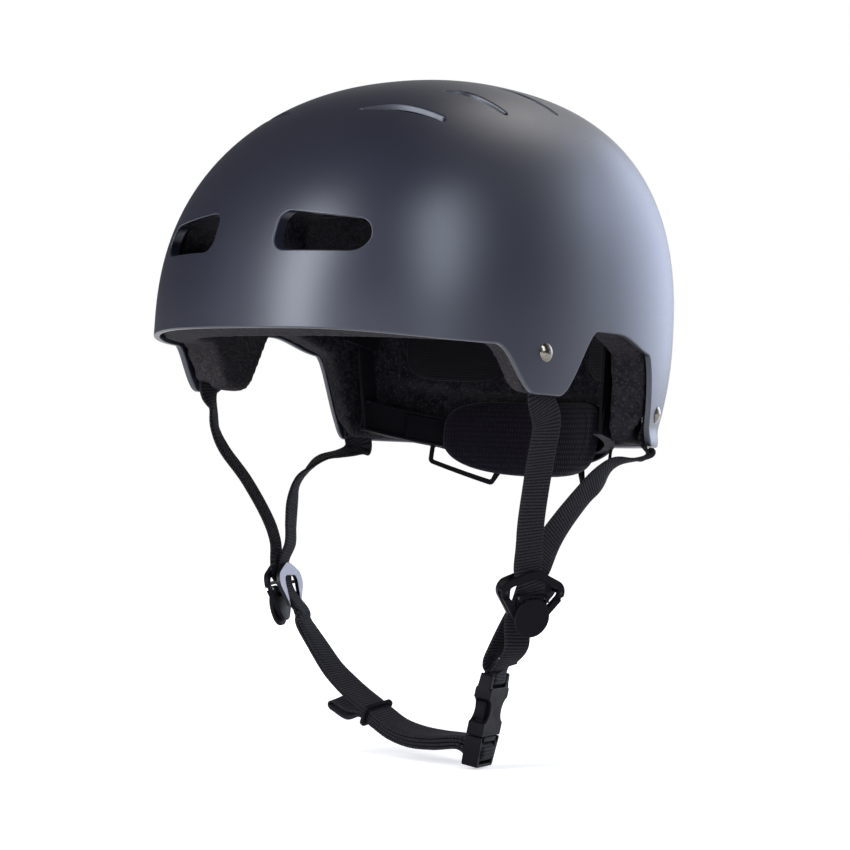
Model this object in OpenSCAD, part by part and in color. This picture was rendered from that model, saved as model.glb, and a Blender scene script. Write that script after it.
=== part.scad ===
/* [Shell] */
// Overall width of the shell
shell_w = 224; // [210:1:236]
// Reach of the shell in front of its widest section
shell_front = 138; // [130:1:146]
// Reach of the shell behind its widest section
shell_rear = 145; // [138:1:152]
// Height of the crown above the level brim
crown_z = 138; // [130:1:146]
// Height of the widest section above the level brim
widest_z = 10; // [8:1:14]
// Wall of the moulded shell
shell_t = 3; // [2.6:0.1:3.4]
// How far the ear tabs hang below the brim
ear_tab_drop = 22; // [19:1:25]
// How far the front edge of the shell rises above the level brim, with the foam showing below it
brim_lift = 3; // [0:0.5:4]
// How far the ear cut-outs rise above the brim
ear_arch_rise = 10; // [6:1:12]
// How far the nape edge hangs below the brim
nape_drop = 42; // [40:1:45]
// How far the nape edge flares out
nape_flare = 2.5; // [1:0.5:4]

/* [Front vents] */
// Height of each front vent
front_vent_h = 19.2; // [16:0.2:21]
// Width of each front vent
front_vent_w = 44; // [38:1:48]
// Distance of a front vent's inner end from the centre
front_vent_x = 18.2; // [16:0.2:22]
// Height of a front vent's lower edge above the brim
front_vent_z = 38.6; // [36:0.2:42]

/* [Crown vents] */
// Width of a crown vent at its bend
crown_vent_w = 9; // [7:0.5:11]
// Number of crown vents on each side
crown_vents = 3; // [1:1:3]

/* [Foam liner] */
// Foam thickness at the sides
foam_side = 16; // [14:0.5:17]
// Foam thickness at the front and rear
foam_end = 20; // [18:0.5:22]
// Foam thickness at the crown
foam_crown = 26; // [23:1:30]
// Gap between the shell and the foam
foam_gap = 0.5; // [0.4:0.05:0.6]
// Step of the foam edge above the shell edge
foam_step = 1.2; // [0.8:0.1:2]

/* [Comfort pads] */
// Thickness of a comfort pad at its crown
pad_t = 6; // [4.5:0.5:7]
// Thickness of the nape pad at its crown
nape_pad_t = 7; // [5:0.5:8]

/* [Webbing] */
// Width of the webbing
web_w = 15; // [14:0.5:16]
// Thickness of the webbing
web_t = 1.4; // [1.2:0.1:1.5]
// Gap between webbing layers that lie on each other
web_gap = 0.5; // [0.45:0.05:0.6]

/* [Rivets] */
// Diameter of a rivet's domed head
rivet_d = 8.8; // [8:0.1:10]
// Height of a rivet's domed head
rivet_dome = 1.8; // [1.4:0.1:2.2]
// Diameter of a rivet's shank
rivet_shank_d = 3.6; // [3.2:0.1:4]

/* [Strap dividers] */
// Width of a divider frame
divider_w = 35; // [33:1:37]
// Height of a divider frame
divider_h = 32; // [31:1:34]
// Diameter of the round lock cover
cover_d = 19; // [17:0.5:20]

/* [Buckle] */
// Width of the buckle
buckle_w = 24; // [24:0.5:26]
// Thickness of the buckle
buckle_t = 8.4; // [8.2:0.1:8.8]
// Length of the buckle socket
socket_l = 29; // [29:0.5:32]
// Length of the plug that shows below the socket
plug_l = 15; // [15:0.5:18]

/* [Keeper ring] */
// Thickness of the elastic keeper ring
keeper_t = 1.8; // [1.4:0.1:2.2]

/* [Cradle] */
// Radius of the cradle's band, at the middle of its racks
band_r = 77; // [75:0.5:79]
// Height of the cradle's band
band_h = 16; // [14:0.5:18]
// Height of a rack or belt strip
strip_h = 9; // [8.4:0.2:10]
// Thickness of a rack or belt strip
strip_t = 1.2; // [1:0.1:1.4]
// Wall of the cradle
cradle_wall = 1.6; // [1.4:0.1:2]
// Tilt of the cradle's band, low at the nape
cradle_tilt = 10; // [8:1:12]
// Travel of the cradle when the dial is tightened
cradle_travel = 10; // [8:0.5:11]
// Diameter of the dial knob
knob_d = 34; // [30:1:36]
// Depth of the dial knob
knob_t = 8; // [6:0.5:9]
// Teeth on the dial's pinion
pinion_teeth = 8; // [8:1:8]
// Pitch radius of the pinion
pinion_r = 4; // [3.9:0.05:4.1]

/* [Hidden] */
$fn = 48;

shell_c = [0.16, 0.17, 0.21];
foam_c = [0.13, 0.12, 0.12];
cloth_c = [0.07, 0.07, 0.08];
web_c = [0.1, 0.1, 0.11];
black_c = [0.08, 0.08, 0.09];
ring_c = [0.7, 0.7, 0.78];
steel_c = [0.7, 0.68, 0.65];

// Shape of the shell: squareness of the profile and of the plan, tuck below the widest section
// and lean of the sections with height
profile_n = 2.35;
plan_n = 2.28;
tuck_side = 0.022;
tuck_rear = 0.12;
lean = 0.046;
crown_lean = 0.139;
run_fit = 0.05;
clear = 0.4;
pad_gap = 1.1;

function smooth(a, b, v) = let (t = min(max((v - a) / (b - a), 0), 1)) t * t * (3 - 2 * t);
function unit(v) = v / norm(v);
function across(w, t) = unit(w - (w * t) * t);

// Height of the shell edge at angle phi, counted from the front
function front_lift(phi) = 1 - smooth(15, 55, abs(phi));
function rim_z(phi) = let (q = abs(phi)) brim_lift * front_lift(phi)
    - ear_tab_drop * smooth(56, 68, q) + (ear_tab_drop + ear_arch_rise) * smooth(75.5, 89, q)
    - 8 * smooth(98, 116, q) - (ear_arch_rise - 8 + nape_drop) * smooth(114, 124, q);

// Point of the surface that lies inset from the outside, at angle phi and height z
function skin(phi, z, side = 0, end = 0, top = 0) = let (
    c = cos(phi), s = sin(phi), h = z - widest_z, hh = crown_z - widest_z - top,
    a = (c > 0 ? shell_front : shell_rear) - end, b = shell_w / 2 - side,
    r = pow(pow(abs(s / b), plan_n) + pow(abs(c / a), plan_n), -1 / plan_n),
    tuck = tuck_side * s * s + (c > 0 ? 0 : tuck_rear * c * c),
    k = h > 0 ? pow(1 - pow(min(h / hh, 1), profile_n), 1 / profile_n) : 1 - tuck * pow(h / 60, 2),
    flare = h > 0 || side > shell_t ? 0 : nape_flare * smooth(110, 130, abs(phi)) * smooth(32, nape_drop, -z),
    f = min(max(h / hh, 0), 1))
    [(r * k + flare) * s, -(r * k + flare) * c + lean * h + crown_lean * f * f * hh, z];

// Height of row j of low_rows up to 20 above the widest place, then of top_rows to the crown
function row_z(j, low_rows, top_rows, low, top) =
    j < low_rows ? low + (widest_z + 20 - low) * pow(j / low_rows, 1.5)
    : let (hh = crown_z - widest_z - top, u0 = asin(pow(20 / hh, profile_n / 2)),
        u = u0 + (90 - u0) * (j - low_rows) / top_rows)
        widest_z + hh * pow(sin(min(u, 90)), 2 / profile_n);

// Angles of the columns from the nape round to the nape, close together over the ears
half_angles = concat([for (i = [0:7]) i * 6.5], [for (i = [0:24]) 52 + i * 3],
    [for (i = [1:8]) 124 + i * 6.2], [180]);
half_n = len(half_angles) - 1;
angles = concat([for (i = [0:half_n - 1]) -half_angles[half_n - i]],
    [for (i = [0:half_n - 1]) half_angles[i]]);

// A dome between an outer and an inner surface, open below; dip brings the inner edge lower in front
module dome(out, inn, step, low_rows, top_rows, dip = 0) {
    rows = low_rows + top_rows;
    cols = len(angles);
    per = cols * rows;
    function layer(t, dip) = [for (j = [0:rows - 1], i = [0:cols - 1]) skin(angles[i], row_z(j,
        low_rows, top_rows, rim_z(angles[i]) + step - dip * front_lift(angles[i]), t[2]), t[0], t[1], t[2])];
    function peak(t) = [skin(0, crown_z - t[2], t[0], t[1], t[2])];
    pts = concat(layer(out, 0), peak(out), layer(inn, dip), peak(inn));
    top_o = per;
    base_i = per + 1;
    top_i = 2 * per + 1;
    faces = [for (i = [0:cols - 1]) let (n = (i + 1) % cols) each concat(
        [for (j = [0:rows - 2]) each [
            [j * cols + i, (j + 1) * cols + i, j * cols + n],
            [j * cols + n, (j + 1) * cols + i, (j + 1) * cols + n],
            [base_i + j * cols + i, base_i + j * cols + n, base_i + (j + 1) * cols + i],
            [base_i + j * cols + n, base_i + (j + 1) * cols + n, base_i + (j + 1) * cols + i]]],
        [[(rows - 1) * cols + i, top_o, (rows - 1) * cols + n],
         [base_i + (rows - 1) * cols + i, base_i + (rows - 1) * cols + n, top_i],
         [i, n, base_i + i], [n, base_i + n, base_i + i]])];
    polyhedron(pts, faces);
}

// One front vent, cut straight back; grow widens it for the foam behind the shell
module front_vent(grow = 0) {
    r_in = front_vent_h * 0.28;
    r_low = front_vent_h * 0.365;
    r_out = front_vent_h * 0.38;
    top = front_vent_z + front_vent_h;
    x_out = front_vent_x + front_vent_w - r_out;
    translate([0, -shell_front / 2, 0]) rotate([90, 0, 0]) linear_extrude(shell_front)
        hull() {
            translate([front_vent_x + r_in, top - r_in]) circle(r_in + grow, $fn = 24);
            translate([front_vent_x + r_low, front_vent_z + r_low]) circle(r_low + grow, $fn = 24);
            translate([x_out, front_vent_z + r_out]) circle(r_out + grow, $fn = 24);
            translate([x_out - 0.5, top - 3.2 - r_out]) circle(r_out + grow, $fn = 24);
        }
}

// One crown vent: a claw-shaped slot with a narrow tip towards the front
module crown_vent(n, grow = 0) {
    tip = [[23, -77], [43, -38.5], [43, 3]][n];
    bend = [[37, -69.5], [49, -31], [49, 11]][n];
    tail = [[59, -62], [68.5, -26.5], [67, 17]][n];
    r = crown_vent_w / 2;
    translate([0, 0, widest_z + 25]) linear_extrude(crown_z) {
        hull() {
            translate(tip) circle(1.2 + grow, $fn = 16);
            translate(bend) circle(r * 0.8 + grow, $fn = 24);
        }
        hull() {
            translate(bend) circle(r * 0.8 + grow, $fn = 24);
            translate(tail) circle(r * 0.5 + grow, $fn = 24);
        }
    }
}

module all_vents(grow = 0) {
    for (m = [0, 1]) mirror([m, 0, 0]) {
        front_vent(grow);
        for (n = [0:crown_vents - 1]) crown_vent(n, grow);
    }
}

// Places of the rivets: angle from the front and height
rivet_front = [70, -2.3];
rivet_rear = [126, -26];

// Puts its children on the skin at a rivet, with their own +Z pointing out
module on_skin(place, inset = 0) {
    p = skin(place[0], place[1], inset, inset, inset);
    q = skin(place[0] + 1, place[1], inset, inset, inset);
    u = skin(place[0], place[1] + 1, inset, inset, inset);
    n = unit(cross(q - p, u - p));
    translate(p) rotate([0, acos(n[2]), atan2(n[1], n[0])]) children();
}

function at_skin(place, q) = let (
    p = skin(place[0], place[1]),
    u = skin(place[0] + 1, place[1]) - p, v = skin(place[0], place[1] + 1) - p,
    n = unit(cross(u, v)), y = unit([-n[1], n[0], 0]))
    p + q[0] * cross(y, n) + q[1] * y + q[2] * n;

module both_sides() {
    children();
    mirror([1, 0, 0]) children();
}

module outer_shell() {
    color(shell_c) difference() {
        dome([0, 0, 0], [shell_t, shell_t, shell_t], 0, 4, 10);
        all_vents();
        both_sides() {
            on_skin(rivet_front) cylinder(d = rivet_shank_d + 2 * run_fit, h = 12, center = true);
            on_skin(rivet_rear) cylinder(d = rivet_shank_d + 2 * run_fit, h = 12, center = true);
        }
    }
}

// Pocket in the foam's outer face for the webbing and the washer at a rivet
module web_pocket(place, drop) {
    on_skin(place, shell_t)
        translate([-11, -web_w / 2 - 2, -6.4]) cube([drop + 11, web_w + 4, 9]);
}

module foam_liner() {
    o = shell_t + foam_gap;
    color(foam_c) difference() {
        dome([o, o, o], [o + foam_side, o + foam_end, o + foam_crown], foam_step, 4, 5,
            brim_lift + foam_step);
        all_vents(1.5);
        both_sides() {
            web_pocket(rivet_front, 40);
            web_pocket(rivet_rear, 40);
            peg_holes();
        }
        both_sides() cradle_room();
    }
}

// A crowned pad on the foam's inner face: round-cornered outline, drawn in at the edge
module skin_pad(phi, z, half_phi, half_z, t) {
    o = shell_t + foam_gap;
    cols = 20;
    rings = 4;
    function spot(a, f, up) = let (
        ca = cos(a), sa = sin(a), e = 0.55,
        u = f * sign(ca) * pow(abs(ca), e), v = f * sign(sa) * pow(abs(sa), e), d = up + pad_gap)
        skin(phi + half_phi * u, z + half_z * v, o + foam_side + d, o + foam_end + d,
            o + foam_crown + d);
    function crown(f) = t * (0.35 + 0.65 * sqrt(1 - pow(f, 4)));
    pts = concat([spot(0, 0, 0)],
        [for (k = [1:rings], i = [0:cols - 1]) spot(i * 360 / cols, k / rings * (k < rings ? 1 : 0.97), 0)],
        [for (k = [0:rings - 1], i = [0:cols - 1])
            spot(i * 360 / cols, 1 - k / rings, crown(1 - k / rings))],
        [spot(0, 0, t)]);
    last = len(pts) - 1;
    bands = 2 * rings;
    faces = concat(
        [for (i = [0:cols - 1]) [0, 1 + (i + 1) % cols, 1 + i]],
        [for (k = [0:bands - 2], i = [0:cols - 1]) let (a = 1 + k * cols, n = (i + 1) % cols) each
            [[a + i, a + n, a + cols + i], [a + n, a + cols + n, a + cols + i]]],
        [for (i = [0:cols - 1]) [last, last - cols + i, last - cols + (i + 1) % cols]]);
    polyhedron(pts, faces);
}

module brow_pad() { color(cloth_c) skin_pad(0, 22, 44, 13, pad_t); }
module side_pad_left() { color(cloth_c) skin_pad(97, 33, 14, 15, pad_t); }
module side_pad_right() { color(cloth_c) mirror([1, 0, 0]) side_pad_left(); }
module rear_pad_left() { color(cloth_c) skin_pad(153, 12, 14, 20, pad_t); }
module rear_pad_right() { color(cloth_c) mirror([1, 0, 0]) rear_pad_left(); }

// Four-lobed pad under the crown
module crown_pad() {
    o = shell_t + foam_gap;
    cols = 32;
    rings = 4;
    reach = 46;
    function spot(i, f, up) = let (
        a = i * 360 / cols, u = 90 - f * (reach + 7 * cos(4 * a)),
        d = o + foam_crown + up + pad_gap, hh = crown_z - widest_z - d)
        skin(a, widest_z + hh * pow(sin(u), 2 / profile_n),
            o + foam_side + up + pad_gap, o + foam_end + up + pad_gap, d);
    function crown(f) = pad_t * (0.35 + 0.65 * sqrt(1 - pow(f, 4)));
    pts = concat([spot(0, 0, 0)],
        [for (k = [1:rings], i = [0:cols - 1]) spot(i, k / rings, 0)],
        [for (k = [0:rings - 1], i = [0:cols - 1]) spot(i, 1 - k / rings, crown(1 - k / rings))],
        [spot(0, 0, pad_t)]);
    last = len(pts) - 1;
    faces = concat(
        [for (i = [0:cols - 1]) [0, 1 + i, 1 + (i + 1) % cols]],
        [for (k = [0:2 * rings - 2], i = [0:cols - 1]) let (a = 1 + k * cols, n = (i + 1) % cols) each
            [[a + i, a + cols + i, a + n], [a + n, a + cols + i, a + cols + n]]],
        [for (i = [0:cols - 1]) [last, last - cols + (i + 1) % cols, last - cols + i]]);
    color(cloth_c) polyhedron(pts, faces);
}

// Domed rivet: head outside, shank through shell and webbing
module rivet() {
    r = (pow(rivet_d / 2, 2) + pow(rivet_dome, 2)) / (2 * rivet_dome);
    rotate_extrude() intersection() {
        union() {
            translate([0, rivet_dome - r + 0.1]) circle(r, $fn = 96);
            translate([0, -shell_t - web_t - 2.4]) square([rivet_shank_d / 2, 6]);
        }
        union() {
            translate([0, 0.1]) square([rivet_d, rivet_dome + 1]);
            translate([0, -shell_t - web_t - 2.4]) square([rivet_shank_d / 2, 8]);
        }
    }
}

module front_rivets() { color(steel_c) both_sides() on_skin(rivet_front) rivet(); }
module rear_rivets() { color(steel_c) both_sides() on_skin(rivet_rear) rivet(); }

module washer() {
    translate([0, 0, -shell_t - web_t - 2.1]) difference() {
        cylinder(d = 11, h = 1);
        translate([0, 0, -1]) cylinder(d = rivet_shank_d + 2 * run_fit, h = 3);
    }
}

module rivet_washers() {
    color(steel_c) both_sides() {
        on_skin(rivet_front) washer();
        on_skin(rivet_rear) washer();
    }
}

// Divider place: centre, turn about Z and lean about Y of its own frame
divider_at = [78, -4.5, -117.5];
divider_right_at = [78.5, -2, -121.5];
divider_turn = -21;
divider_lean = 14;
// Buckle place
buckle_at = [51.5, 1.2, -177.7];
buckle_turn = 15;
buckle_lean = 10.5;

function place(p, at, lean_y, turn_z) = let (
    q = [p[0] * cos(lean_y) + p[2] * sin(lean_y), p[1], -p[0] * sin(lean_y) + p[2] * cos(lean_y)])
    at + [q[0] * cos(turn_z) - q[1] * sin(turn_z), q[0] * sin(turn_z) + q[1] * cos(turn_z), q[2]];
function on_divider(p, at = divider_at) = place(p, at, divider_lean, divider_turn);
function on_buckle(p) = place(p, buckle_at, buckle_lean, buckle_turn);

module at_divider(at = divider_at) {
    translate(at) rotate([0, divider_lean, divider_turn]) children();
}

module at_buckle() {
    translate(buckle_at) rotate([0, buckle_lean, buckle_turn]) children();
}

// Smooth curve through key frames, each a point and a width direction
function curve(a, b, c, d, t) = 0.5 * (2 * b + (c - a) * t + (2 * a - 5 * b + 4 * c - d) * t * t
    + (3 * b - a - 3 * c + d) * t * t * t);
function fine(keys, n) = let (last = len(keys) - 1) concat(
    [for (i = [0:last - 1], s = [0:n - 1]) [for (k = [0, 1])
        curve(keys[max(i - 1, 0)][k], keys[i][k], keys[i + 1][k], keys[min(i + 2, last)][k], s / n)]],
    [keys[last]]);
function heading(keys, i) = unit(keys[min(i + 1, len(keys) - 1)][0] - keys[max(i - 1, 0)][0]);
// The same run moved by off to the side of its flat face
function layer(keys, off) = [for (i = [0:len(keys) - 1]) let (t = heading(keys, i))
    [keys[i][0] + off * cross(t, across(keys[i][1], t)), keys[i][1]]];
function back(keys) = [for (i = [len(keys) - 1:-1:0]) keys[i]];
function flip(keys) = [for (k = keys) [[-k[0][0], k[0][1], k[0][2]], [-k[1][0], k[1][1], k[1][2]]]];

// Flat webbing along key frames, four corners a section
module ribbon(keys, n) {
    pts = fine(keys, n);
    last = len(pts) - 1;
    ring = [for (i = [0:last]) let (t = heading(pts, i), w = across(pts[i][1], t) * web_w / 2,
        h = cross(t, across(pts[i][1], t)) * web_t / 2, p = pts[i][0])
        each [p + w + h, p - w + h, p - w - h, p + w - h]];
    polyhedron(ring, concat([[0, 1, 2, 3]],
        [for (i = [0:last - 1], k = [0:3]) let (a = 4 * i + k, b = 4 * i + (k + 1) % 4) each
            [[a, a + 4, b], [b, a + 4, b + 4]]],
        [[4 * last + 3, 4 * last + 2, 4 * last + 1, 4 * last]]));
}

// Webbing lies between shell and foam at the rivets, then hangs free to the divider
web_in = shell_t + 0.75 + web_t / 2;
step_t = web_t + web_gap;
function under_shell(place, x) = [at_skin(place, [x, 0, -web_in - x * x / 400]),
    at_skin(place, [0, 1, 0]) - at_skin(place, [0, 0, 0])];
front_run = concat(
    [for (x = [-9.5, 0, 10, 20]) under_shell(rivet_front, x)],
    [[[102, -30, -33.5], [0.36, 0.93, 0]], [[98, -25, -46], [0.36, 0.93, 0]],
     [[91.5, -19.6, -62], [0.36, 0.93, 0]], [[87, -16.7, -80], [0.36, 0.93, 0]],
     [[84, -13.5, -93], [0.36, 0.93, 0]]]);
rear_run = concat(
    [for (x = [-9.5, 0, 8, 13.5]) under_shell(rivet_rear, x)],
    [[[93.9, 70.6, -45.6], [-0.62, 0.78, 0]], [[93, 61, -48.9], [-0.98, 0.15, -0.1]],
     [[92, 50.8, -50.8], [-0.93, 0.2, -0.3]], [[91, 40.8, -54.3], [-0.5, 0.5, -0.7]],
     [[89.5, 32.5, -60.6], [-0.15, 0.83, -0.53]], [[87.5, 25.1, -67.3], [-0.15, 0.83, -0.53]],
     [[84, 13.2, -80.6], [0, 0.9, -0.4]], [[81.5, 5, -92], [0.2, 0.9, -0.25]]]);
// The right side hangs lower and its rear run carries a half twist
right_front_run = concat(
    flip([for (x = [-9.5, 0, 10, 20]) under_shell(rivet_front, x)]),
    [[[-101.5, -37.5, -31], [-0.5, 0.86, 0]], [[-97.5, -39.5, -41], [-0.45, 0.89, 0]],
     [[-94, -36, -51], [-0.35, 0.93, 0]], [[-89, -24, -66], [-0.35, 0.93, 0]],
     [[-84.5, -12.5, -84], [-0.36, 0.93, 0]], [[-82.5, -7, -97], [-0.36, 0.93, 0]]]);
right_rear_run = concat(
    [for (k = flip([for (x = [-9.5, 0, 8, 13.5]) under_shell(rivet_rear, x)])) [k[0], -k[1]]],
    [[[-92.9, 70, -45.6], [-0.62, -0.78, 0]], [[-92.9, 61, -48.9], [-0.98, -0.15, 0.1]],
     [[-90, 43, -51.5], [-0.97, -0.15, 0]], [[-88, 31, -55], [-0.93, 0, -0.3]],
     [[-86, 18.5, -62], [-0.76, 0.23, -0.6]], [[-84, 10, -68.5], [-0.45, 0.65, -0.6]],
     [[-82, 4.6, -78], [-0.3, 0.84, -0.45]], [[-80.6, 2.5, -88], [-0.33, 0.9, -0.25]],
     [[-79.6, 1.5, -98], [-0.36, 0.93, -0.1]]]);
web_dir = on_divider([0, 1, 0]) - divider_at;
function divider_run(off, y, at) = [
    [on_divider([off, y, 14.5], at), web_dir], [on_divider([off, 0, 5], at), web_dir],
    [on_divider([off - 1.8, 0, -4], at), web_dir], [on_divider([off - 6.6, 0, -13], at), web_dir]];
bar_dir = on_buckle([0, 1, 0]) - buckle_at;

// Left webbing: one band, front rivet to divider, round the socket's bar and back to the rear rivet
socket_bar_z = 19.5;
bar_r = 1.6;
bar_turn = bar_r + 0.3 + web_t / 2;
function around(x0, z, r, a0, a1, n) = [for (i = [0:n]) let (a = a0 + (a1 - a0) * i / n)
    [on_buckle([x0 + r * cos(a), 0, z + r * sin(a)]), bar_dir]];
left_path = concat(front_run, divider_run(step_t / 2, -4, divider_at),
    [[[70, -1.5, -142], [0.25, 0.96, 0]], [[63, 0.3, -150.5], [0, 1, 0]],
     [on_buckle([bar_turn, 0, 25]), bar_dir]],
    around(0, socket_bar_z, bar_turn, 0, -180, 6),
    [[on_buckle([-bar_turn, 0, 24.5]), bar_dir],
     [[54.5, 0.3, -149], [-0.1, 0.99, 0]], [[60, -1, -141.5], [0.15, 0.97, 0]]],
    back(divider_run(-step_t / 2, 2.5, divider_at)), back(rear_run));

// Right webbing: as the left one, but its fold hangs out as a tail behind the plug's bar
plug_bar_z = -16.4;
chin_run = [[[-66, -0.5, -138.5], [-0.25, 0.95, 0]], [[-57.5, 0, -148.5], [-0.15, 0.97, 0.1]],
    [[-46.5, 0, -160], [-0.1, 0.97, 0.2]], [[-36, 0, -167.8], [0, 0.97, 0.25]],
    [[-28, 0, -172.6], [0, 0.97, 0.25]], [[-20, 0, -176.8], [0, 0.97, 0.25]],
    [[-12, 0, -181.2], [0, 0.97, 0.25]], [[-2, 0, -186], [0, 0.97, 0.25]],
    [[10, 0, -188.6], [0, 0.97, 0.25]], [[24, 0, -189], [-0.1, 0.98, 0.15]],
    [on_buckle([-9.5, 0, plug_bar_z + 3.9]), bar_dir]];
plug_turn = bar_r + 0.3 + web_t / 2;
keeper_key = 5;
tail_run = [for (i = [len(chin_run) - 1:-1:keeper_key]) chin_run[i]];
function bend(r) = around(0, plug_bar_z, r, 108, -130, 6);
right_path = concat(right_front_run, flip(divider_run(step_t / 2, -4, divider_right_at)),
    layer(chin_run, step_t / 2), bend(plug_turn + step_t), layer(tail_run, 2.5 * step_t),
    [[[-30, 0, -182.6], [0, 0.97, 0.25]], [[-38, 0, -179.6], [0, 0.97, 0.25]],
     [[-41.2, 0, -178], [0, 0.97, 0.25]], [[-41.4, 0, -176], [0, 0.97, 0.25]],
     [[-38.8, 0, -175.2], [0, 0.97, 0.25]], [[-30.5, 0, -178.4], [0, 0.97, 0.25]]],
    back(layer(tail_run, 1.5 * step_t)), back(bend(plug_turn)), back(layer(chin_run, -step_t / 2)),
    back(flip(divider_run(-step_t / 2, 2.5, divider_right_at))), back(right_rear_run));

module rivet_holes() {
    on_skin(rivet_front) cylinder(d = rivet_shank_d + 2 * run_fit, h = 30, center = true);
    on_skin(rivet_rear) cylinder(d = rivet_shank_d + 2 * run_fit, h = 30, center = true);
}

module webbing_left() {
    color(web_c) difference() {
        ribbon(left_path, 2);
        rivet_holes();
    }
}

module webbing_right() {
    color(web_c) difference() {
        ribbon(right_path, 2);
        mirror([1, 0, 0]) rivet_holes();
    }
}

// Flat outline between two circles
module bar2(a, ra, b, rb) {
    hull() {
        translate(a) circle(ra, $fn = 32);
        translate(b) circle(rb, $fn = 32);
    }
}

// Outline of a divider: a rounded triangle, drawn with y across and z up
module divider_outline(cut) {
    w = divider_w / 2 - 6.5;
    hull() {
        translate([-w, 3.5]) circle(6.5 - cut, $fn = 32);
        translate([w, 3.5]) circle(6.5 - cut, $fn = 32);
        translate([0, divider_h / 2 - 15]) circle(13 - cut, $fn = 64);
        translate([0, -divider_h / 2 + 8]) circle(8 - cut, $fn = 32);
    }
}

// Turns a drawing in the y-z plane into a plate from x0 to x1
module plate(x0, x1) {
    translate([x0, 0, 0]) rotate([90, 0, 90]) linear_extrude(x1 - x0) children();
}

frame_x = step_t / 2 + web_t / 2 + 0.5;
frame_t = 2.4;
hinge_x = frame_x + 2.1;
hinge_z = 0.8;
cover_z = -8.6;
pin_r = 0.8;
post_r = 0.9;
post_y = divider_w / 2 - 2;

module divider_frame() {
    difference() {
        union() {
            plate(frame_x, frame_x + frame_t) difference() {
                divider_outline(0);
                intersection() {
                    divider_outline(3.4);
                    translate([-20, -3.5]) square([40, 30]);
                }
            }
            for (s = [-1, 1]) {
                plate(frame_x, frame_x + frame_t) translate([s * 7.4 - 1, -4]) square([2, 6.4]);
                plate(frame_x + 1, hinge_x + 1.7) translate([s * 7.4 - 1, -0.9]) square([2, 3.3]);
            }
        }
        for (s = [-1, 1]) translate([0, s * post_y, 3.5]) rotate([0, 90, 0])
            cylinder(r = post_r + run_fit, h = 20, center = true);
        translate([hinge_x, 0, hinge_z]) rotate([90, 0, 0])
            cylinder(r = pin_r + run_fit, h = 40, center = true);
    }
}

module divider_ring() {
    plate(-frame_x - 2, -frame_x) difference() {
        divider_outline(0.8);
        hull() {
            translate([-5.2, 2.4]) circle(4, $fn = 32);
            translate([5.2, 2.4]) circle(4, $fn = 32);
            translate([-3.8, -10.8]) circle(4, $fn = 32);
            translate([3.8, -10.8]) circle(4, $fn = 32);
        }
    }
    for (s = [-1, 1]) translate([-frame_x - 1, s * post_y, 3.5]) rotate([0, 90, 0])
        cylinder(r = post_r, h = 2 * frame_x + frame_t + 1);
}

module divider_cover() {
    difference() {
        union() {
            translate([frame_x + frame_t + 0.35, 0, cover_z]) rotate([0, 90, 0])
                cylinder(d = cover_d, h = 2.2);
            translate([hinge_x, 0, hinge_z]) rotate([90, 0, 0])
                cylinder(r = 1.6, h = 11.6, center = true);
        }
        translate([hinge_x, 0, hinge_z]) rotate([90, 0, 0])
            cylinder(r = pin_r + run_fit, h = 30, center = true);
    }
}

module cover_pin() {
    translate([hinge_x, 0, hinge_z]) rotate([90, 0, 0]) cylinder(r = pin_r, h = 16.4, center = true);
}

module divider_frame_left() { color(black_c) at_divider() divider_frame(); }
module divider_frame_right() {
    color(black_c) mirror([1, 0, 0]) at_divider(divider_right_at) divider_frame();
}
module divider_ring_left() { color(ring_c) at_divider() divider_ring(); }
module divider_ring_right() { color(ring_c) mirror([1, 0, 0]) at_divider(divider_right_at) divider_ring(); }
module divider_cover_left() { color(black_c) at_divider() divider_cover(); }
module divider_cover_right() {
    color(black_c) mirror([1, 0, 0]) at_divider(divider_right_at) divider_cover();
}
module cover_pins() {
    color(steel_c) {
        at_divider() cover_pin();
        mirror([1, 0, 0]) at_divider(divider_right_at) cover_pin();
    }
}

// Buckle: its own frame has x through the flat faces, y across and z up to the socket
socket_low = -8;
socket_top = 15;
buckle_wall = 1.7;
prong_y = 8.8;
prong_pivot_z = -9.9;
prong_t = 1.8;
thumb_z = 4.5;
thumb_r = 6.3;

module block(x, y0, y1, z0, z1) { translate([-x / 2, y0, z0]) cube([x, y1 - y0, z1 - z0]); }

module socket_side() {
    hull() {
        for (z = [socket_low + 1, socket_top - 1], s = [-1, 1])
            translate([s * (buckle_w / 2 - 2), z]) circle(2 - (z > 0 ? 0 : 1), $fn = 24);
        for (s = [-1, 1]) translate([s * (buckle_w / 2 - 1), socket_low + 1]) circle(1, $fn = 24);
    }
}

module buckle_socket() {
    h = buckle_w / 2;
    bar_end = web_w / 2 + 1;
    color(black_c) at_buckle() difference() {
        union() {
            plate(-buckle_t / 2, buckle_t / 2) socket_side();
            for (s = [-1, 1]) plate(-buckle_t / 2 + 1, buckle_t / 2 - 1) bar2(
                [s * (h - 2), socket_top - 3], 2, [s * (bar_end + 1.6), socket_low + socket_l], 1.6);
            translate([0, 0, socket_bar_z]) rotate([90, 0, 0])
                cylinder(r = bar_r, h = 2 * bar_end + 3, center = true);
        }
        block(buckle_t - 2 * buckle_wall, -h + buckle_wall, h - buckle_wall, socket_low - 1, 12.5);
        for (s = [-1, 1]) translate([0, s * (h + 1.7), thumb_z]) rotate([0, 90, 0])
            cylinder(r = thumb_r, h = buckle_t + 2, center = true);
    }
}

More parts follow.
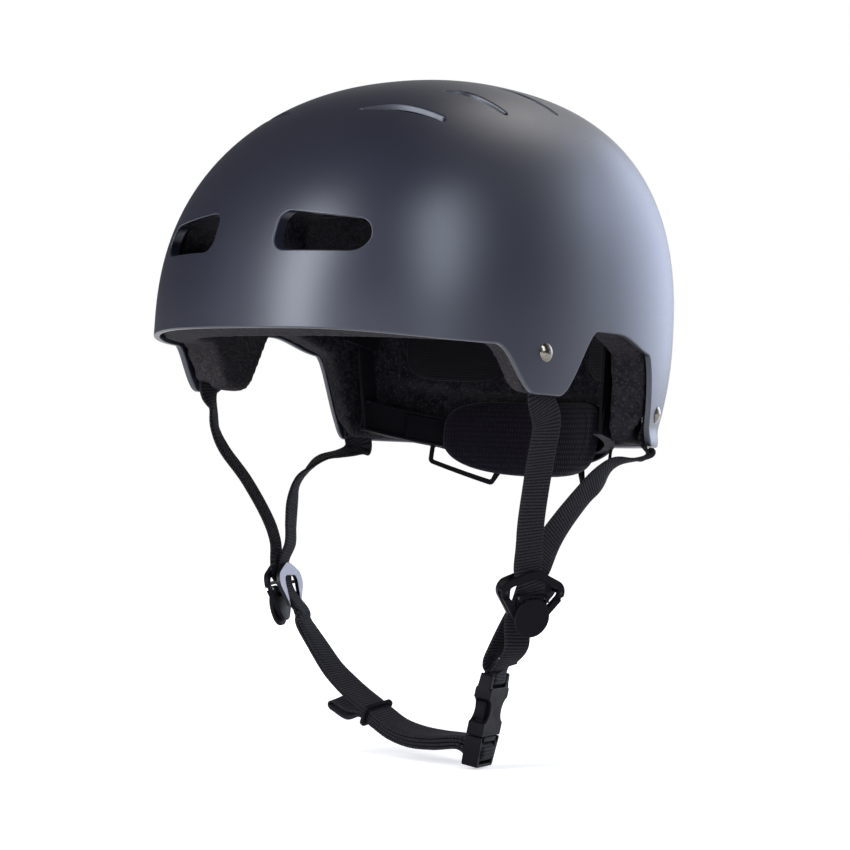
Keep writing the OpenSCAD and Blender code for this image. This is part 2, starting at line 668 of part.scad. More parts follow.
module buckle_plug() {
    low = socket_low - 0.4 - plug_l;
    h = buckle_w / 2;
    color(black_c) at_buckle() difference() {
        union() {
            plate(-buckle_t / 2, buckle_t / 2) hull() {
                for (s = [-1, 1]) {
                    translate([s * (h - 1), socket_low - 1.4]) circle(1, $fn = 24);
                    translate([s * (h - 3.2), low + 1.5]) circle(1.5, $fn = 24);
                }
            }
            block(buckle_t - 2 * buckle_wall - 0.8, -1.6, 1.6, socket_low - 2, 11);
        }
        difference() {
            block(buckle_t + 2, -web_w / 2 - 0.4, web_w / 2 + 0.4, low + 1.5, socket_low - 2.7);
            translate([0, 0, plug_bar_z]) rotate([90, 0, 0])
                cylinder(r = bar_r, h = web_w + 4, center = true);
        }
        for (s = [-1, 1]) translate([0, s * prong_y, prong_pivot_z]) {
            rotate([0, 90, 0]) cylinder(r = 1.2 + run_fit, h = buckle_t + 2, center = true);
            block(buckle_t + 2, -1.15, 1.15, 0, 3);
        }
    }
}

// Prong, drawn for the side where y is positive
module prong() {
    x = buckle_t - 2 * buckle_wall - 0.8;
    translate([0, prong_y, prong_pivot_z]) rotate([0, 90, 0]) cylinder(r = 1.2, h = x, center = true);
    block(x, prong_y - prong_t / 2, prong_y + prong_t / 2, prong_pivot_z, 9);
    plate(-x / 2, x / 2) intersection() {
        hull() {
            translate([prong_y - 0.4, thumb_z + 2.6]) circle(2.4, $fn = 24);
            translate([prong_y - 0.4, thumb_z - 2.6]) circle(2.4, $fn = 24);
            translate([prong_y - 1.4, thumb_z]) circle(4.6, $fn = 32);
        }
        translate([prong_y - prong_t / 2, 0]) square([6, 12]);
    }
}

module buckle_prong_rear() { color(black_c) at_buckle() prong(); }
module buckle_prong_front() { color(black_c) at_buckle() mirror([0, 1, 0]) prong(); }

// Keeper ring round the four layers of the right webbing
keeper_at = (chin_run[keeper_key][0] + chin_run[keeper_key + 1][0]) / 2;
module at_keeper() {
    t = unit(chin_run[keeper_key + 1][0] - chin_run[keeper_key][0]);
    w = across(chin_run[keeper_key][1], t);
    n = cross(w, t);
    multmatrix([for (k = [0:2]) [n[k], w[k], t[k], keeper_at[k]]]) children();
}
module keeper_ring() {
    w = web_w / 2 + 0.5;
    h = 2 * step_t - web_gap / 2 + 0.5;
    module rim(g) {
        hull() for (sx = [-1, 1], sy = [-1, 1])
            translate([sx * (h - 1), sy * (w - 1)]) circle(1 + g, $fn = 24);
    }
    color(black_c) at_keeper() translate([step_t, 0, -keeper_t / 2]) linear_extrude(keeper_t)
        difference() {
            rim(keeper_t);
            rim(0);
        }
}

// Cradle: its own frame has z along the axis of the band and y to the nape
nape_gap = 28;
cradle_at = [0, shell_rear - nape_gap - band_r, -26.5];
module at_cradle() { translate(cradle_at) rotate([-cradle_tilt, 0, 0]) children(); }
band_in = band_r + strip_t / 2 + clear;
band_out = band_in + cradle_wall;
cover_out = band_r - strip_t / 2 - clear;
cover_in = cover_out - cradle_wall;
half_h = band_h / 2;
lip = 1.2;
band_half = 80;
arm_y = 21;
arm_w = 11;
belt_gap = 7.1;
belt_x = shell_w / 2 - shell_t - foam_gap - foam_side - pad_t - belt_gap;
belt_z = 42;
sleeve_y = -8;
sleeve_l = 26;
sleeve_in = belt_x - strip_t / 2 - clear;
sleeve_out = belt_x + strip_t / 2 + clear;
sleeve_h = strip_h / 2 + clear;
knob_gap = 0.4;
shaft_r = 2.6;

// Ring sector about z: radii, heights and half the angle either side of the nape
module sector(r0, r1, z0, z1, half) {
    rotate([0, 0, 90 - half]) rotate_extrude(angle = 2 * half, $fn = 144)
        translate([r0, z0]) square([r1 - r0, z1 - z0]);
}

// Cuts a flat drawing through the band at angle a from the nape, towards the left side
module on_band(a, r0, r1) {
    intersection() {
        difference() {
            cylinder(r = r1, h = 160, center = true, $fn = 144);
            cylinder(r = r0, h = 170, center = true, $fn = 144);
        }
        rotate([0, 0, -a]) rotate([-90, 0, 0]) mirror([0, 1, 0]) linear_extrude(r1 + 10) children();
    }
}

module loop_window() {
    difference() {
        hull() {
            translate([17, -half_h - 7]) circle(2.6, $fn = 24);
            translate([-15, -half_h - 14]) circle(2.6, $fn = 24);
            translate([17, -4]) circle(2.6, $fn = 24);
            translate([-23, -half_h + 1.3]) circle(2.6, $fn = 24);
        }
        hull() {
            translate([16.2, -half_h - 6.4]) circle(1, $fn = 24);
            translate([-14.6, -half_h - 12.8]) circle(1, $fn = 24);
            translate([16.2, -half_h - 1]) circle(1, $fn = 24);
            translate([-17, -half_h - 5]) circle(1, $fn = 24);
        }
    }
}

// Arm from the band up to the sleeve that the belt slides in
module yoke_arm() {
    low_x = sqrt(pow(band_in, 2) - pow(arm_y, 2));
    hull() {
        translate([low_x, arm_y - arm_w / 2, -half_h]) cube([cradle_wall, arm_w, 4]);
        translate([belt_x - cradle_wall / 2, sleeve_y + sleeve_l - arm_w - 2, belt_z - sleeve_h - lip - 4])
            cube([cradle_wall, arm_w, 4 + lip - 0.2]);
    }
    translate([sleeve_in - cradle_wall, sleeve_y, belt_z - sleeve_h - lip]) difference() {
        cube([sleeve_out - sleeve_in + 2 * cradle_wall, sleeve_l, 2 * (sleeve_h + lip)]);
        translate([cradle_wall, -1, lip])
            cube([sleeve_out - sleeve_in, sleeve_l + 2, 2 * sleeve_h]);
    }
}

module cradle_yoke() {
    color(black_c) at_cradle() difference() {
        union() {
            rotate([0, 0, 90 - band_half]) rotate_extrude(angle = 2 * band_half, $fn = 144) polygon([
                [cover_in, -half_h], [band_out, -half_h], [band_out, half_h], [cover_in, half_h],
                [cover_in, half_h - lip], [band_in, half_h - lip], [band_in, lip - half_h],
                [cover_in, lip - half_h]]);
            both_sides() {
                yoke_arm();
                on_band(34, band_in + 0.1, band_out - 0.1) loop_window();
            }
        }
        rotate([-90, 0, 0]) cylinder(r = shaft_r + run_fit, h = 100);
    }
}

// Plate inside the nape that closes the band and carries the pad
plate_half = 38;
plate_h = 15;
module dial_cover_plate() {
    color(black_c) at_cradle() intersection() {
        sector(cover_in - 0.3 - cradle_wall, cover_in - 0.3, -plate_h, plate_h, plate_half);
        rotate([-90, 0, 0]) linear_extrude(100) hull() both_sides()
            translate([cover_in * sin(plate_half) - plate_h, 0]) circle(plate_h, $fn = 48);
    }
}

// Nape cushion: a crowned oval on the cover plate
nape_half_a = 45;
nape_half_h = 20;
module nape_pad() {
    cols = 32;
    rings = 5;
    r0 = cover_in - 0.6 - cradle_wall;
    function spot(i, f, up) = let (a = i * 360 / cols, ca = cos(a), sa = sin(a),
        q = 90 - nape_half_a * f * sign(ca) * pow(abs(ca), 0.6),
        z = nape_half_h * f * sign(sa) * pow(abs(sa), 0.7))
        [(r0 - up) * cos(q), (r0 - up) * sin(q), z];
    function crown(f) = nape_pad_t * (0.35 + 0.65 * sqrt(1 - pow(f, 4)));
    pts = concat([spot(0, 0, 0)],
        [for (k = [1:rings], i = [0:cols - 1]) spot(i, k / rings * (k < rings ? 1 : 0.97), 0)],
        [for (k = [0:rings - 1], i = [0:cols - 1]) spot(i, 1 - k / rings, crown(1 - k / rings))],
        [spot(0, 0, nape_pad_t)]);
    last = len(pts) - 1;
    faces = concat(
        [for (i = [0:cols - 1]) [0, 1 + i, 1 + (i + 1) % cols]],
        [for (k = [0:2 * rings - 2], i = [0:cols - 1]) let (a = 1 + k * cols, n = (i + 1) % cols) each
            [[a + i, a + cols + i, a + n], [a + n, a + cols + i, a + cols + n]]],
        [for (i = [0:cols - 1]) [last, last - cols + (i + 1) % cols, last - cols + i]]);
    color(cloth_c) at_cradle() polyhedron(pts, faces);
}

// Dial: knob outside, pinion between the racks, one screw through both
pitch = 2 * PI * pinion_r / pinion_teeth;
tooth_up = 0.8;
tooth_down = 1;
tooth_half = 0.58;
pinion_y0 = cover_out + 0.2;
pinion_y1 = band_in - 0.5;
knob_y0 = band_out + knob_gap;
screw_r = 1.2;

module dial_pinion() {
    color(steel_c) at_cradle() rotate([-90, 0, 0]) difference() {
        union() {
            translate([0, 0, pinion_y0]) {
                cylinder(r = pinion_r - tooth_down, h = pinion_y1 - pinion_y0);
                for (i = [0:pinion_teeth - 1]) rotate([0, 0, 90 + i * 360 / pinion_teeth])
                    linear_extrude(pinion_y1 - pinion_y0) polygon([
                        [pinion_r - tooth_down - 0.5, -tooth_half - 0.25],
                        [pinion_r, -tooth_half], [pinion_r + tooth_up, -0.3],
                        [pinion_r + tooth_up, 0.3], [pinion_r, tooth_half],
                        [pinion_r - tooth_down - 0.5, tooth_half + 0.25]]);
            }
            translate([0, 0, pinion_y0]) cylinder(r = shaft_r, h = knob_y0 + 3 - pinion_y0);
        }
        translate([0, 0, pinion_y0 - 1]) cylinder(r = screw_r + run_fit, h = 20);
    }
}

module dial_knob() {
    color(black_c) at_cradle() rotate([-90, 0, 0]) translate([0, 0, knob_y0]) difference() {
        union() {
            cylinder(d = knob_d - 2.4, h = knob_t - 1.2);
            translate([0, 0, knob_t - 1.2]) cylinder(d1 = knob_d - 2.4, d2 = knob_d - 5, h = 1.2,
                $fn = 96);
            for (i = [0:17]) rotate([0, 0, i * 20]) translate([knob_d / 2 - 1.8, 0, 0])
                cylinder(r = 1.8, h = knob_t - 1.2, $fn = 24);
        }
        translate([0, 0, -1]) cylinder(r = shaft_r + run_fit, h = 4.1);
        translate([0, 0, -1]) cylinder(r = screw_r + run_fit, h = 20);
        translate([0, 0, knob_t - 2.4]) cylinder(r = 3.3, h = 5);
        difference() {
            translate([0, 0, -1]) cylinder(r = knob_d / 2 - 4, h = 3);
            translate([0, 0, -2]) cylinder(r = shaft_r + 3, h = 6);
        }
    }
}

module dial_screw() {
    color(steel_c) at_cradle() rotate([-90, 0, 0]) difference() {
        union() {
            translate([0, 0, knob_y0 + knob_t - 2.4]) cylinder(r = 3, h = 1.6);
            translate([0, 0, pinion_y0 + 0.4])
                cylinder(r = screw_r, h = knob_y0 + knob_t - 2.4 - pinion_y0);
        }
        for (a = [0, 90]) rotate([0, 0, a]) translate([-1.7, -0.3, knob_y0 + knob_t - 1.5])
            cube([3.4, 0.6, 2]);
    }
}

// Rack strip: a toothed bar over the pinion, then the full strip towards the side
rack_tip = -12;
rack_full = 29;
rack_end = 60;
rack_top = half_h - lip - clear;
rack_root = pinion_r + tooth_down;
module rack() {
    r0 = band_r - strip_t / 2;
    r1 = band_r + strip_t / 2;
    step = pitch / band_r * 180 / PI;
    difference() {
        rotate([0, 0, 90 - rack_end]) rotate_extrude(angle = rack_end - rack_tip, $fn = 144)
            translate([r0, -rack_top]) square([strip_t, 2 * rack_top]);
        rotate([0, 0, 90 - rack_full]) translate([0, 0, rack_root - 20])
            rotate_extrude(angle = 60, $fn = 144) translate([r0 - 2, 0]) square([strip_t + 4, 20]);
    }
    for (k = [-4:6]) rotate([0, 0, -(k + 0.5) * step]) translate([0, r0 + 0.1, 0])
        rotate([-90, 0, 0]) linear_extrude(strip_t - 0.2) polygon([
            [-tooth_half - 0.25, -rack_root - 0.2], [-tooth_half, -pinion_r],
            [-0.3, -pinion_r + tooth_up], [0.3, -pinion_r + tooth_up],
            [tooth_half, -pinion_r], [tooth_half + 0.25, -rack_root - 0.2]]);
}

module rack_left() { color(black_c) at_cradle() rack(); }
module rack_right() { color(black_c) at_cradle() rotate([0, 180, 0]) rack(); }

// Belts run from the sleeves forward to pegs in the foam
belt_back = 2;
peg_y = -79;
peg_r = 3;
peg_depth = 7;
module belt() {
    difference() {
        union() {
            translate([-strip_t / 2, peg_y, -strip_h / 2])
                cube([strip_t, belt_back - peg_y, strip_h]);
            translate([-strip_t / 2, peg_y, 0]) rotate([0, 90, 0]) cylinder(d = strip_h, h = strip_t);
        }
        translate([-2, peg_y, 0]) rotate([0, 90, 0]) cylinder(r = peg_r - 0.6 + run_fit, h = 4);
    }
}
module at_belt() { at_cradle() translate([belt_x, 0, belt_z]) children(); }
module belt_left() { color(black_c) at_belt() belt(); }
module belt_right() { color(black_c) mirror([1, 0, 0]) at_belt() belt(); }

// Peg: a head inside the belt, a neck through it and a plug in the foam
foam_face = skin(70, 28, shell_t + foam_gap + foam_side, shell_t + foam_gap + foam_end, 0)[0] - belt_x;
module belt_pegs() {
    color(black_c) both_sides() at_belt() translate([0, peg_y, 0]) rotate([0, 90, 0]) {
        translate([0, 0, -strip_t / 2 - 1.9]) cylinder(r = 4, h = 1.8);
        translate([0, 0, -strip_t / 2 - 1.2]) cylinder(r = peg_r - 0.6, h = strip_t + 2);
        translate([0, 0, strip_t / 2 + 0.1]) cylinder(r = peg_r, h = foam_face + peg_depth);
    }
}
module peg_holes() {
    at_belt() translate([0, peg_y, 0]) rotate([0, 90, 0])
        translate([0, 0, -10]) cylinder(r = peg_r + 0.1, h = 10 + foam_face + peg_depth + 1.2);
}

// Room behind the nape foam for the band and the knob
nape_room = band_out + 4.4;
module cradle_room() {
    at_cradle() {
        translate([0, 0, -60]) cylinder(r = nape_room, h = 60 + plate_h + 9);
        translate([0, sleeve_y - cradle_travel - 3, -60])
            cube([sleeve_out + cradle_wall + 1.5, sleeve_l + cradle_travel + 12, 60 + belt_z + 12]);
        rotate([-90, 0, 0]) cylinder(d = knob_d + 8, h = knob_y0 + knob_t + 3);
    }
}

outer_shell();
foam_liner();
brow_pad();
crown_pad();
side_pad_left();
side_pad_right();
rear_pad_left();
rear_pad_right();
front_rivets();
rear_rivets();
rivet_washers();
webbing_left();
webbing_right();
divider_frame_left();
divider_frame_right();
divider_ring_left();
divider_ring_right();
divider_cover_left();
divider_cover_right();
cover_pins();
buckle_socket();
buckle_plug();
buckle_prong_front();
buckle_prong_rear();
keeper_ring();
cradle_yoke();
nape_pad();
dial_knob();
dial_pinion();
dial_screw();
dial_cover_plate();
rack_left();
rack_right();
belt_left();
belt_right();
belt_pegs();
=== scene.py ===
import math

import bmesh
import bpy
import numpy as np
from mathutils import Matrix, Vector
from mathutils.geometry import delaunay_2d_cdt


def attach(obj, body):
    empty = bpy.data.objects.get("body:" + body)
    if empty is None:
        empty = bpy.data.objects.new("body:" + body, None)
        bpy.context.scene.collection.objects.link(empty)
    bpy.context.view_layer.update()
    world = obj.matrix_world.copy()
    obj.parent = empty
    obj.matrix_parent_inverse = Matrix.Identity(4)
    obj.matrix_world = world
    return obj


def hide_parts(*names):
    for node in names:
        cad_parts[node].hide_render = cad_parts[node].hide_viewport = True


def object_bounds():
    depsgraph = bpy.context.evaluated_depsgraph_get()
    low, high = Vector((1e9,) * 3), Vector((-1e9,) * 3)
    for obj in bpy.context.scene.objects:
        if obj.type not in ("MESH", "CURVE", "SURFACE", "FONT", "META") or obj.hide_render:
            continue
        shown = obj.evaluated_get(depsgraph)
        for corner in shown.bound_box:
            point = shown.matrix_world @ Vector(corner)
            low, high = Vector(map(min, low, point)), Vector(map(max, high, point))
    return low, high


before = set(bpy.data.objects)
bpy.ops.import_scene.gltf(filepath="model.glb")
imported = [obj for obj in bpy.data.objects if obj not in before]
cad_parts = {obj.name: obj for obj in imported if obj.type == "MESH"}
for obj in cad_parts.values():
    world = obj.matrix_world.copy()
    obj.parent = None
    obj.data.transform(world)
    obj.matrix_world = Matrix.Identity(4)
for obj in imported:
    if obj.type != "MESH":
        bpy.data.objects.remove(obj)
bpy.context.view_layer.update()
scene = bpy.context.scene


# Camera. It stands left of the wearer's front, a little below the brim and looking slightly up,
# rolled by two degrees, with the long lens of a product photograph.
cam_az, cam_el, cam_roll = np.radians([38.172, -1.554, 2.205])
cam_at = np.array([0.80693, -1.01686, -0.07052])
focal_px, photo_px = 2593.87, 850
cam_back = np.array([math.sin(cam_az) * math.cos(cam_el), -math.cos(cam_az) * math.cos(cam_el),
                     math.sin(cam_el)])
cam_side = np.array([math.cos(cam_az), math.sin(cam_az), 0.0])
cam_top = np.cross(cam_back, cam_side)
cam_right = cam_side * math.cos(cam_roll) + cam_top * math.sin(cam_roll)
cam_up = cam_top * math.cos(cam_roll) - cam_side * math.sin(cam_roll)
camera = bpy.data.objects.new("camera", bpy.data.cameras.new("camera"))
scene.collection.objects.link(camera)
camera.data.sensor_width = 36
camera.data.lens = camera.data.sensor_width * focal_px / photo_px
camera.data.clip_end = 20
camera.matrix_world = Matrix(np.vstack([
    np.column_stack([cam_right, cam_up, cam_back, cam_at]), [0, 0, 0, 1]]).tolist())
scene.camera = camera


# Shell. A moulded hard cap, 3 mm thick, sprayed with a matt blue-black paint. The crown and
# front vents are cut through it and its lower edge is trimmed and left a little lighter.
shell_w, shell_front, shell_rear = 224, 138, 145
crown_z, widest_z, shell_t = 138, 10, 3
plan_power, rise_power = 2.28, 2.35
lean_back, crown_drift = 0.046, 0.139
lip_r, vent_depth = 0.8, 7.0


def smooth(a, b, v):
    """Eases from 0 at a to 1 at b"""
    t = np.clip((v - a) / (b - a), 0, 1)
    return t * t * (3 - 2 * t)


def rim_z(phi):
    """Height of the shell's edge at an angle from the front: brim, ear tab, ear arch, nape"""
    q = np.abs(phi)
    return (3 * (1 - smooth(15, 55, q)) - 22 * smooth(56, 68, q) + 32 * smooth(75.5, 89, q)
            - 8 * smooth(98, 116, q) - 44 * smooth(114, 124, q))


def skin(phi, z, side=0.0, end=0.0, top=0.0):
    """Point of the helmet's skin, inset from the outside by side, end and top

    A superellipse in plan, whose size falls off upward by another superellipse. It leans back
    with height, is tucked in below by the square of the depth, and flares out at the nape.
    """
    s, c = np.sin(np.radians(phi)), np.cos(np.radians(phi))
    h, hh = z - widest_z, crown_z - widest_z - top
    a = np.where(c > 0, shell_front, shell_rear) - end
    b = shell_w / 2 - side
    r = (np.abs(s / b) ** plan_power + np.abs(c / a) ** plan_power) ** (-1 / plan_power)
    tuck = 0.022 * s * s + np.where(c > 0, 0, 0.12 * c * c)
    f = np.clip(h / hh, 0, 1)
    k = np.where(h > 0, (1 - f ** rise_power) ** (1 / rise_power), 1 - tuck * (h / 60) ** 2)
    flare = 2.5 * smooth(110, 130, np.abs(phi)) * smooth(32, 42, -z) * (h <= 0) * (side <= shell_t)
    return np.stack([(r * k + flare) * s, -(r * k + flare) * c + lean_back * h
                     + crown_drift * f * f * hh, z + 0 * s], -1)


def unit(v):
    """Vectors over their own length"""
    return v / np.linalg.norm(v, axis=-1, keepdims=True)


def even(points, normals, count):
    """The closed outline at count even steps along its length, with its normals"""
    p = np.vstack([points, points[:1]])
    n = np.vstack([normals, normals[:1]])
    keep = np.append(True, np.linalg.norm(np.diff(p, axis=0), axis=1) > 1e-9)
    p, n = p[keep], n[keep]
    s = np.append(0, np.cumsum(np.linalg.norm(np.diff(p, axis=0), axis=1)))
    t = np.arange(count) * s[-1] / count
    q = np.stack([np.interp(t, s, p[:, k]) for k in (0, 1)], -1)
    m = np.stack([np.interp(t, s, n[:, k]) for k in (0, 1)], -1)
    return q, m / np.linalg.norm(m, axis=1)[:, None]


def front_outline():
    """Outline of a front vent, round the outside of four discs, as x and z with its normals"""
    discs = np.array([[23.58, 52.42, 5.38], [25.21, 45.61, 7.01],
                      [54.9, 45.9, 7.3], [54.4, 47.3, 7.3]])
    a = np.radians(np.arange(0, 360, 0.5))
    n = np.stack([np.cos(a), np.sin(a)], -1)
    best = np.argmax(n @ discs[:, :2].T + discs[:, 2], axis=1)
    return even(discs[best, :2] + discs[best, 2:] * n, n, 110)


def crown_outline(tip, bend, tail):
    """Outline of a crown vent, a claw along a bent spine: thin tip, full bend, slimmer tail

    The spine's corner is cut off four times, a quarter from each end, which rounds it.
    """
    spine = np.array([[*tip, 1.2], [*bend, 3.6], [*tail, 2.25]])
    for _ in range(4):
        cut = np.stack([0.75 * spine[:-1] + 0.25 * spine[1:],
                        0.25 * spine[:-1] + 0.75 * spine[1:]], 1)
        spine = np.vstack([spine[:1], cut.reshape(-1, 3)[1:-1], spine[-1:]])
    t = np.gradient(spine[:, :2], axis=0)
    t /= np.linalg.norm(t, axis=1)[:, None]
    n = np.stack([-t[:, 1], t[:, 0]], -1)
    turn = np.radians(np.arange(6, 180, 6))[:, None]
    tail_cap = np.cos(turn) * n[-1] + np.sin(turn) * t[-1]
    tip_cap = -np.cos(turn) * n[0] - np.sin(turn) * t[0]
    p = np.vstack([spine[:, :2] + spine[:, 2:] * n, spine[-1, :2] + spine[-1, 2] * tail_cap,
                   (spine[:, :2] - spine[:, 2:] * n)[::-1], spine[0, :2] + spine[0, 2] * tip_cap])
    return even(p, np.vstack([n, tail_cap, -n[::-1], tip_cap]), 90)


def front_place(x, z):
    """Angle and height on the skin of a point seen from the front"""
    hh = crown_z - widest_z
    k = (1 - ((z - widest_z) / hh) ** rise_power) ** (1 / rise_power)
    across = np.abs(x / (shell_w / 2)) ** plan_power
    y = -shell_front * (k ** plan_power - across) ** (1 / plan_power)
    return np.degrees(np.arctan2(x, -y)), z


def crown_place(x, y):
    """Angle and height on the skin of a point seen from above, found by repeated correction"""
    hh, h = crown_z - widest_z, 0 * x + 100.0
    for _ in range(60):
        v = y - lean_back * h - crown_drift * (h / hh) ** 2 * hh
        along = np.abs(v / np.where(v < 0, shell_front, shell_rear)) ** plan_power
        k = (np.abs(x / (shell_w / 2)) ** plan_power + along) ** (1 / plan_power)
        h = 0.5 * h + 0.5 * hh * (1 - k ** rise_power) ** (1 / rise_power)
    return np.degrees(np.arctan2(x, -v)), widest_z + h


# a mean side view of the skin from the crown down, by the run along it, with a straight skirt
mean_reach, skirt = 125, 80
u = np.radians(np.linspace(90, 0, 3000))
fall = np.stack([mean_reach * np.cos(u) ** (2 / rise_power),
                 (crown_z - widest_z) * np.sin(u) ** (2 / rise_power)], -1)
fall_s = np.append(0, np.cumsum(np.linalg.norm(np.diff(fall, axis=0), axis=1)))
fall_s = np.append(fall_s, fall_s[-1] + skirt)
fall_z = widest_z + np.append(fall[:, 1], -skirt)


def unrolled(phi, z):
    """The skin laid flat: the crown in the middle, and distance from it the run down the skin"""
    r = np.interp(-z, -fall_z, fall_s)
    return np.stack([r * np.sin(np.radians(phi)), -r * np.cos(np.radians(phi))], -1)


def rolled(flat):
    """Angle and height of points laid flat"""
    return (np.degrees(np.arctan2(flat[:, 0], -flat[:, 1])),
            np.interp(np.linalg.norm(flat, axis=1), fall_s, fall_z))


def inside(points, loop):
    """Which flat points lie in a closed loop, by counting the loop's sides to their right"""
    a, b = loop, np.roll(loop, -1, axis=0)
    x, y = points[:, :1], points[:, 1:]
    cross = (a[:, 1] > y) != (b[:, 1] > y)
    with np.errstate(divide="ignore", invalid="ignore"):
        at = (b[:, 0] - a[:, 0]) * (y - a[:, 1]) / (b[:, 1] - a[:, 1]) + a[:, 0]
    return (cross & (x < at)).sum(axis=1) % 2 == 1


def mesh_piece(name, points, faces, material, body):
    """A smooth-shaded mesh from points in millimetres, with its finish, riding on a body"""
    mesh = bpy.data.meshes.new(name)
    mesh.from_pydata((np.asarray(points, float) / 1000).tolist(), [],
                     [list(map(int, f)) for f in faces])
    mesh.polygons.foreach_set("use_smooth", np.ones(len(mesh.polygons), bool))
    mesh.materials.append(material)
    mesh.update()
    piece = bpy.data.objects.new(name, mesh)
    scene.collection.objects.link(piece)
    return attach(piece, body)


def nodes_in(tree):
    """A way to add a node: its kind, links as (input, source), and inputs in_1 and settings"""
    def add(kind, *links, **values):
        node = tree.nodes.new(kind)
        for key, value in values.items():
            if key.startswith("in_"):
                node.inputs[int(key[3:])].default_value = value
            else:
                setattr(node, key, value)
        for place, source in links:
            tree.links.new(source, node.inputs[place])
        return node
    return add


def finish_of(name, **sockets):
    """A new material with its shader's sockets set, and ways to add nodes and join them to it"""
    material = bpy.data.materials.new(name)
    material.use_nodes = True
    tree = material.node_tree
    shader = tree.nodes["Principled BSDF"]
    for socket, value in sockets.items():
        shader.inputs[socket.replace("_", " ")].default_value = value

    def join(source, socket):
        tree.links.new(source, shader.inputs[socket])
    return material, nodes_in(tree), join


def ramp(add, source, stops):
    """A colour ramp on source, from a list of (place, grey or colour)"""
    node = add("ShaderNodeValToRGB", (0, source))
    node.color_ramp.elements.remove(node.color_ramp.elements[1])
    for k, (at, colour) in enumerate(stops):
        element = node.color_ramp.elements[0] if k == 0 else node.color_ramp.elements.new(at)
        element.position = at
        element.color = (*colour, 1) if isinstance(colour, tuple) else (colour, colour, colour, 1)
    return node.outputs["Color"]


paint, add, join = finish_of("matt blue-black paint", Roughness=0.4, Specular_IOR_Level=0.9,
                             Specular_Tint=(0.82, 0.88, 1, 1))
where = add("ShaderNodeTexCoord").outputs["Object"]
cloud = add("ShaderNodeTexNoise", (0, where), in_2=22.0, in_3=3.0).outputs[0]
grain = add("ShaderNodeTexNoise", (0, where), in_2=1700.0, in_3=2.0).outputs[0]
edge = add("ShaderNodeAttribute", attribute_name="cut").outputs["Fac"]
body_colour = ramp(add, cloud, [(0.3, (0.0068, 0.0076, 0.0175)), (0.7, (0.0088, 0.0096, 0.0205))])
trimmed = add("ShaderNodeMix", (0, edge), (6, body_colour), data_type="RGBA",
              in_7=(0.018, 0.018, 0.024, 1))
join(trimmed.outputs[2], "Base Color")
join(ramp(add, grain, [(0.3, 0.37), (0.7, 0.44)]), "Roughness")
join(add("ShaderNodeBump", ("Height", grain), in_0=0.05, in_1=0.0001).outputs[0], "Normal")

# outlines of the front vent and three crown vents, their mirror images, and the rim, laid flat
front_p, front_n = front_outline()
claws = [crown_outline(*claw) for claw in (
    ((23, -77), (37, -69.5), (59, -62)), ((43, -38.5), (49, -31), (68.5, -26.5)),
    ((43, 3), (49, 11), (67, 17)))]
vent_loops = [front_place(*(front_p + lip_r / 2 * front_n).T)]
vent_loops += [crown_place(*(p + lip_r / 2 * n).T) for p, n in claws]
vent_loops += [(-phi, z) for phi, z in vent_loops]
rim_phi = np.linspace(-180, 180, 900, endpoint=False)
loops = [unrolled(*loop) for loop in vent_loops] + [unrolled(rim_phi, rim_z(rim_phi) + lip_r)]
# a grid of even triangles, kept clear of the outlines and then joined to them
step, reach, clear = 2.7, 270, 1.5
gx, gy = np.meshgrid(np.arange(-reach, reach, step), np.arange(-reach, reach, step * 0.866))
gx = gx + step / 2 * (np.arange(len(gx)) % 2)[:, None]
grid = np.stack([gx.ravel(), gy.ravel()], -1)
grid = grid[inside(grid, loops[-1])]
for loop in loops:
    gap = np.min([np.hypot(*(grid - q).T) for q in loop], axis=0)
    out = inside(grid, loop) if loop is not loops[-1] else np.zeros(len(grid), bool)
    grid = grid[(gap > clear) & ~out]
starts = len(grid) + np.cumsum([0] + [len(q) for q in loops])
flat = np.vstack([grid] + loops)
sides = [(int(starts[k] + i), int(starts[k] + (i + 1) % len(q)))
         for k, q in enumerate(loops) for i in range(len(q))]
found = delaunay_2d_cdt([tuple(map(float, q)) for q in flat], sides, [], 0, 1e-7)
first = np.array([group[0] for group in found[3]])
tri = first[np.array([f for f in found[2] if len(f) == 3])]
middle = flat[tri].mean(axis=1)
keep = inside(middle, loops[-1])
for loop in loops[:-1]:
    keep &= ~inside(middle, loop)
tri = tri[keep]
a, b, c = flat[tri].transpose(1, 0, 2)
turned = np.cross(b - a, c - a) < 0
tri[turned] = tri[turned][:, ::-1]
# the outer skin and its normals, exact but at the crown, where the faces round a point share one
outer = skin(*rolled(flat))
face_n = np.cross(outer[tri[:, 1]] - outer[tri[:, 0]], outer[tri[:, 2]] - outer[tri[:, 0]])
normal = np.zeros_like(outer)
for k in range(3):
    np.add.at(normal, tri[:, k], face_n)
phi, z = rolled(flat)
exact = np.cross(skin(phi + 0.05, z) - skin(phi - 0.05, z),
                 skin(phi, z + 0.05) - skin(phi, z - 0.05))
normal = np.where((z < crown_z - 2)[:, None], exact, normal)
normal /= np.linalg.norm(normal, axis=1)[:, None]
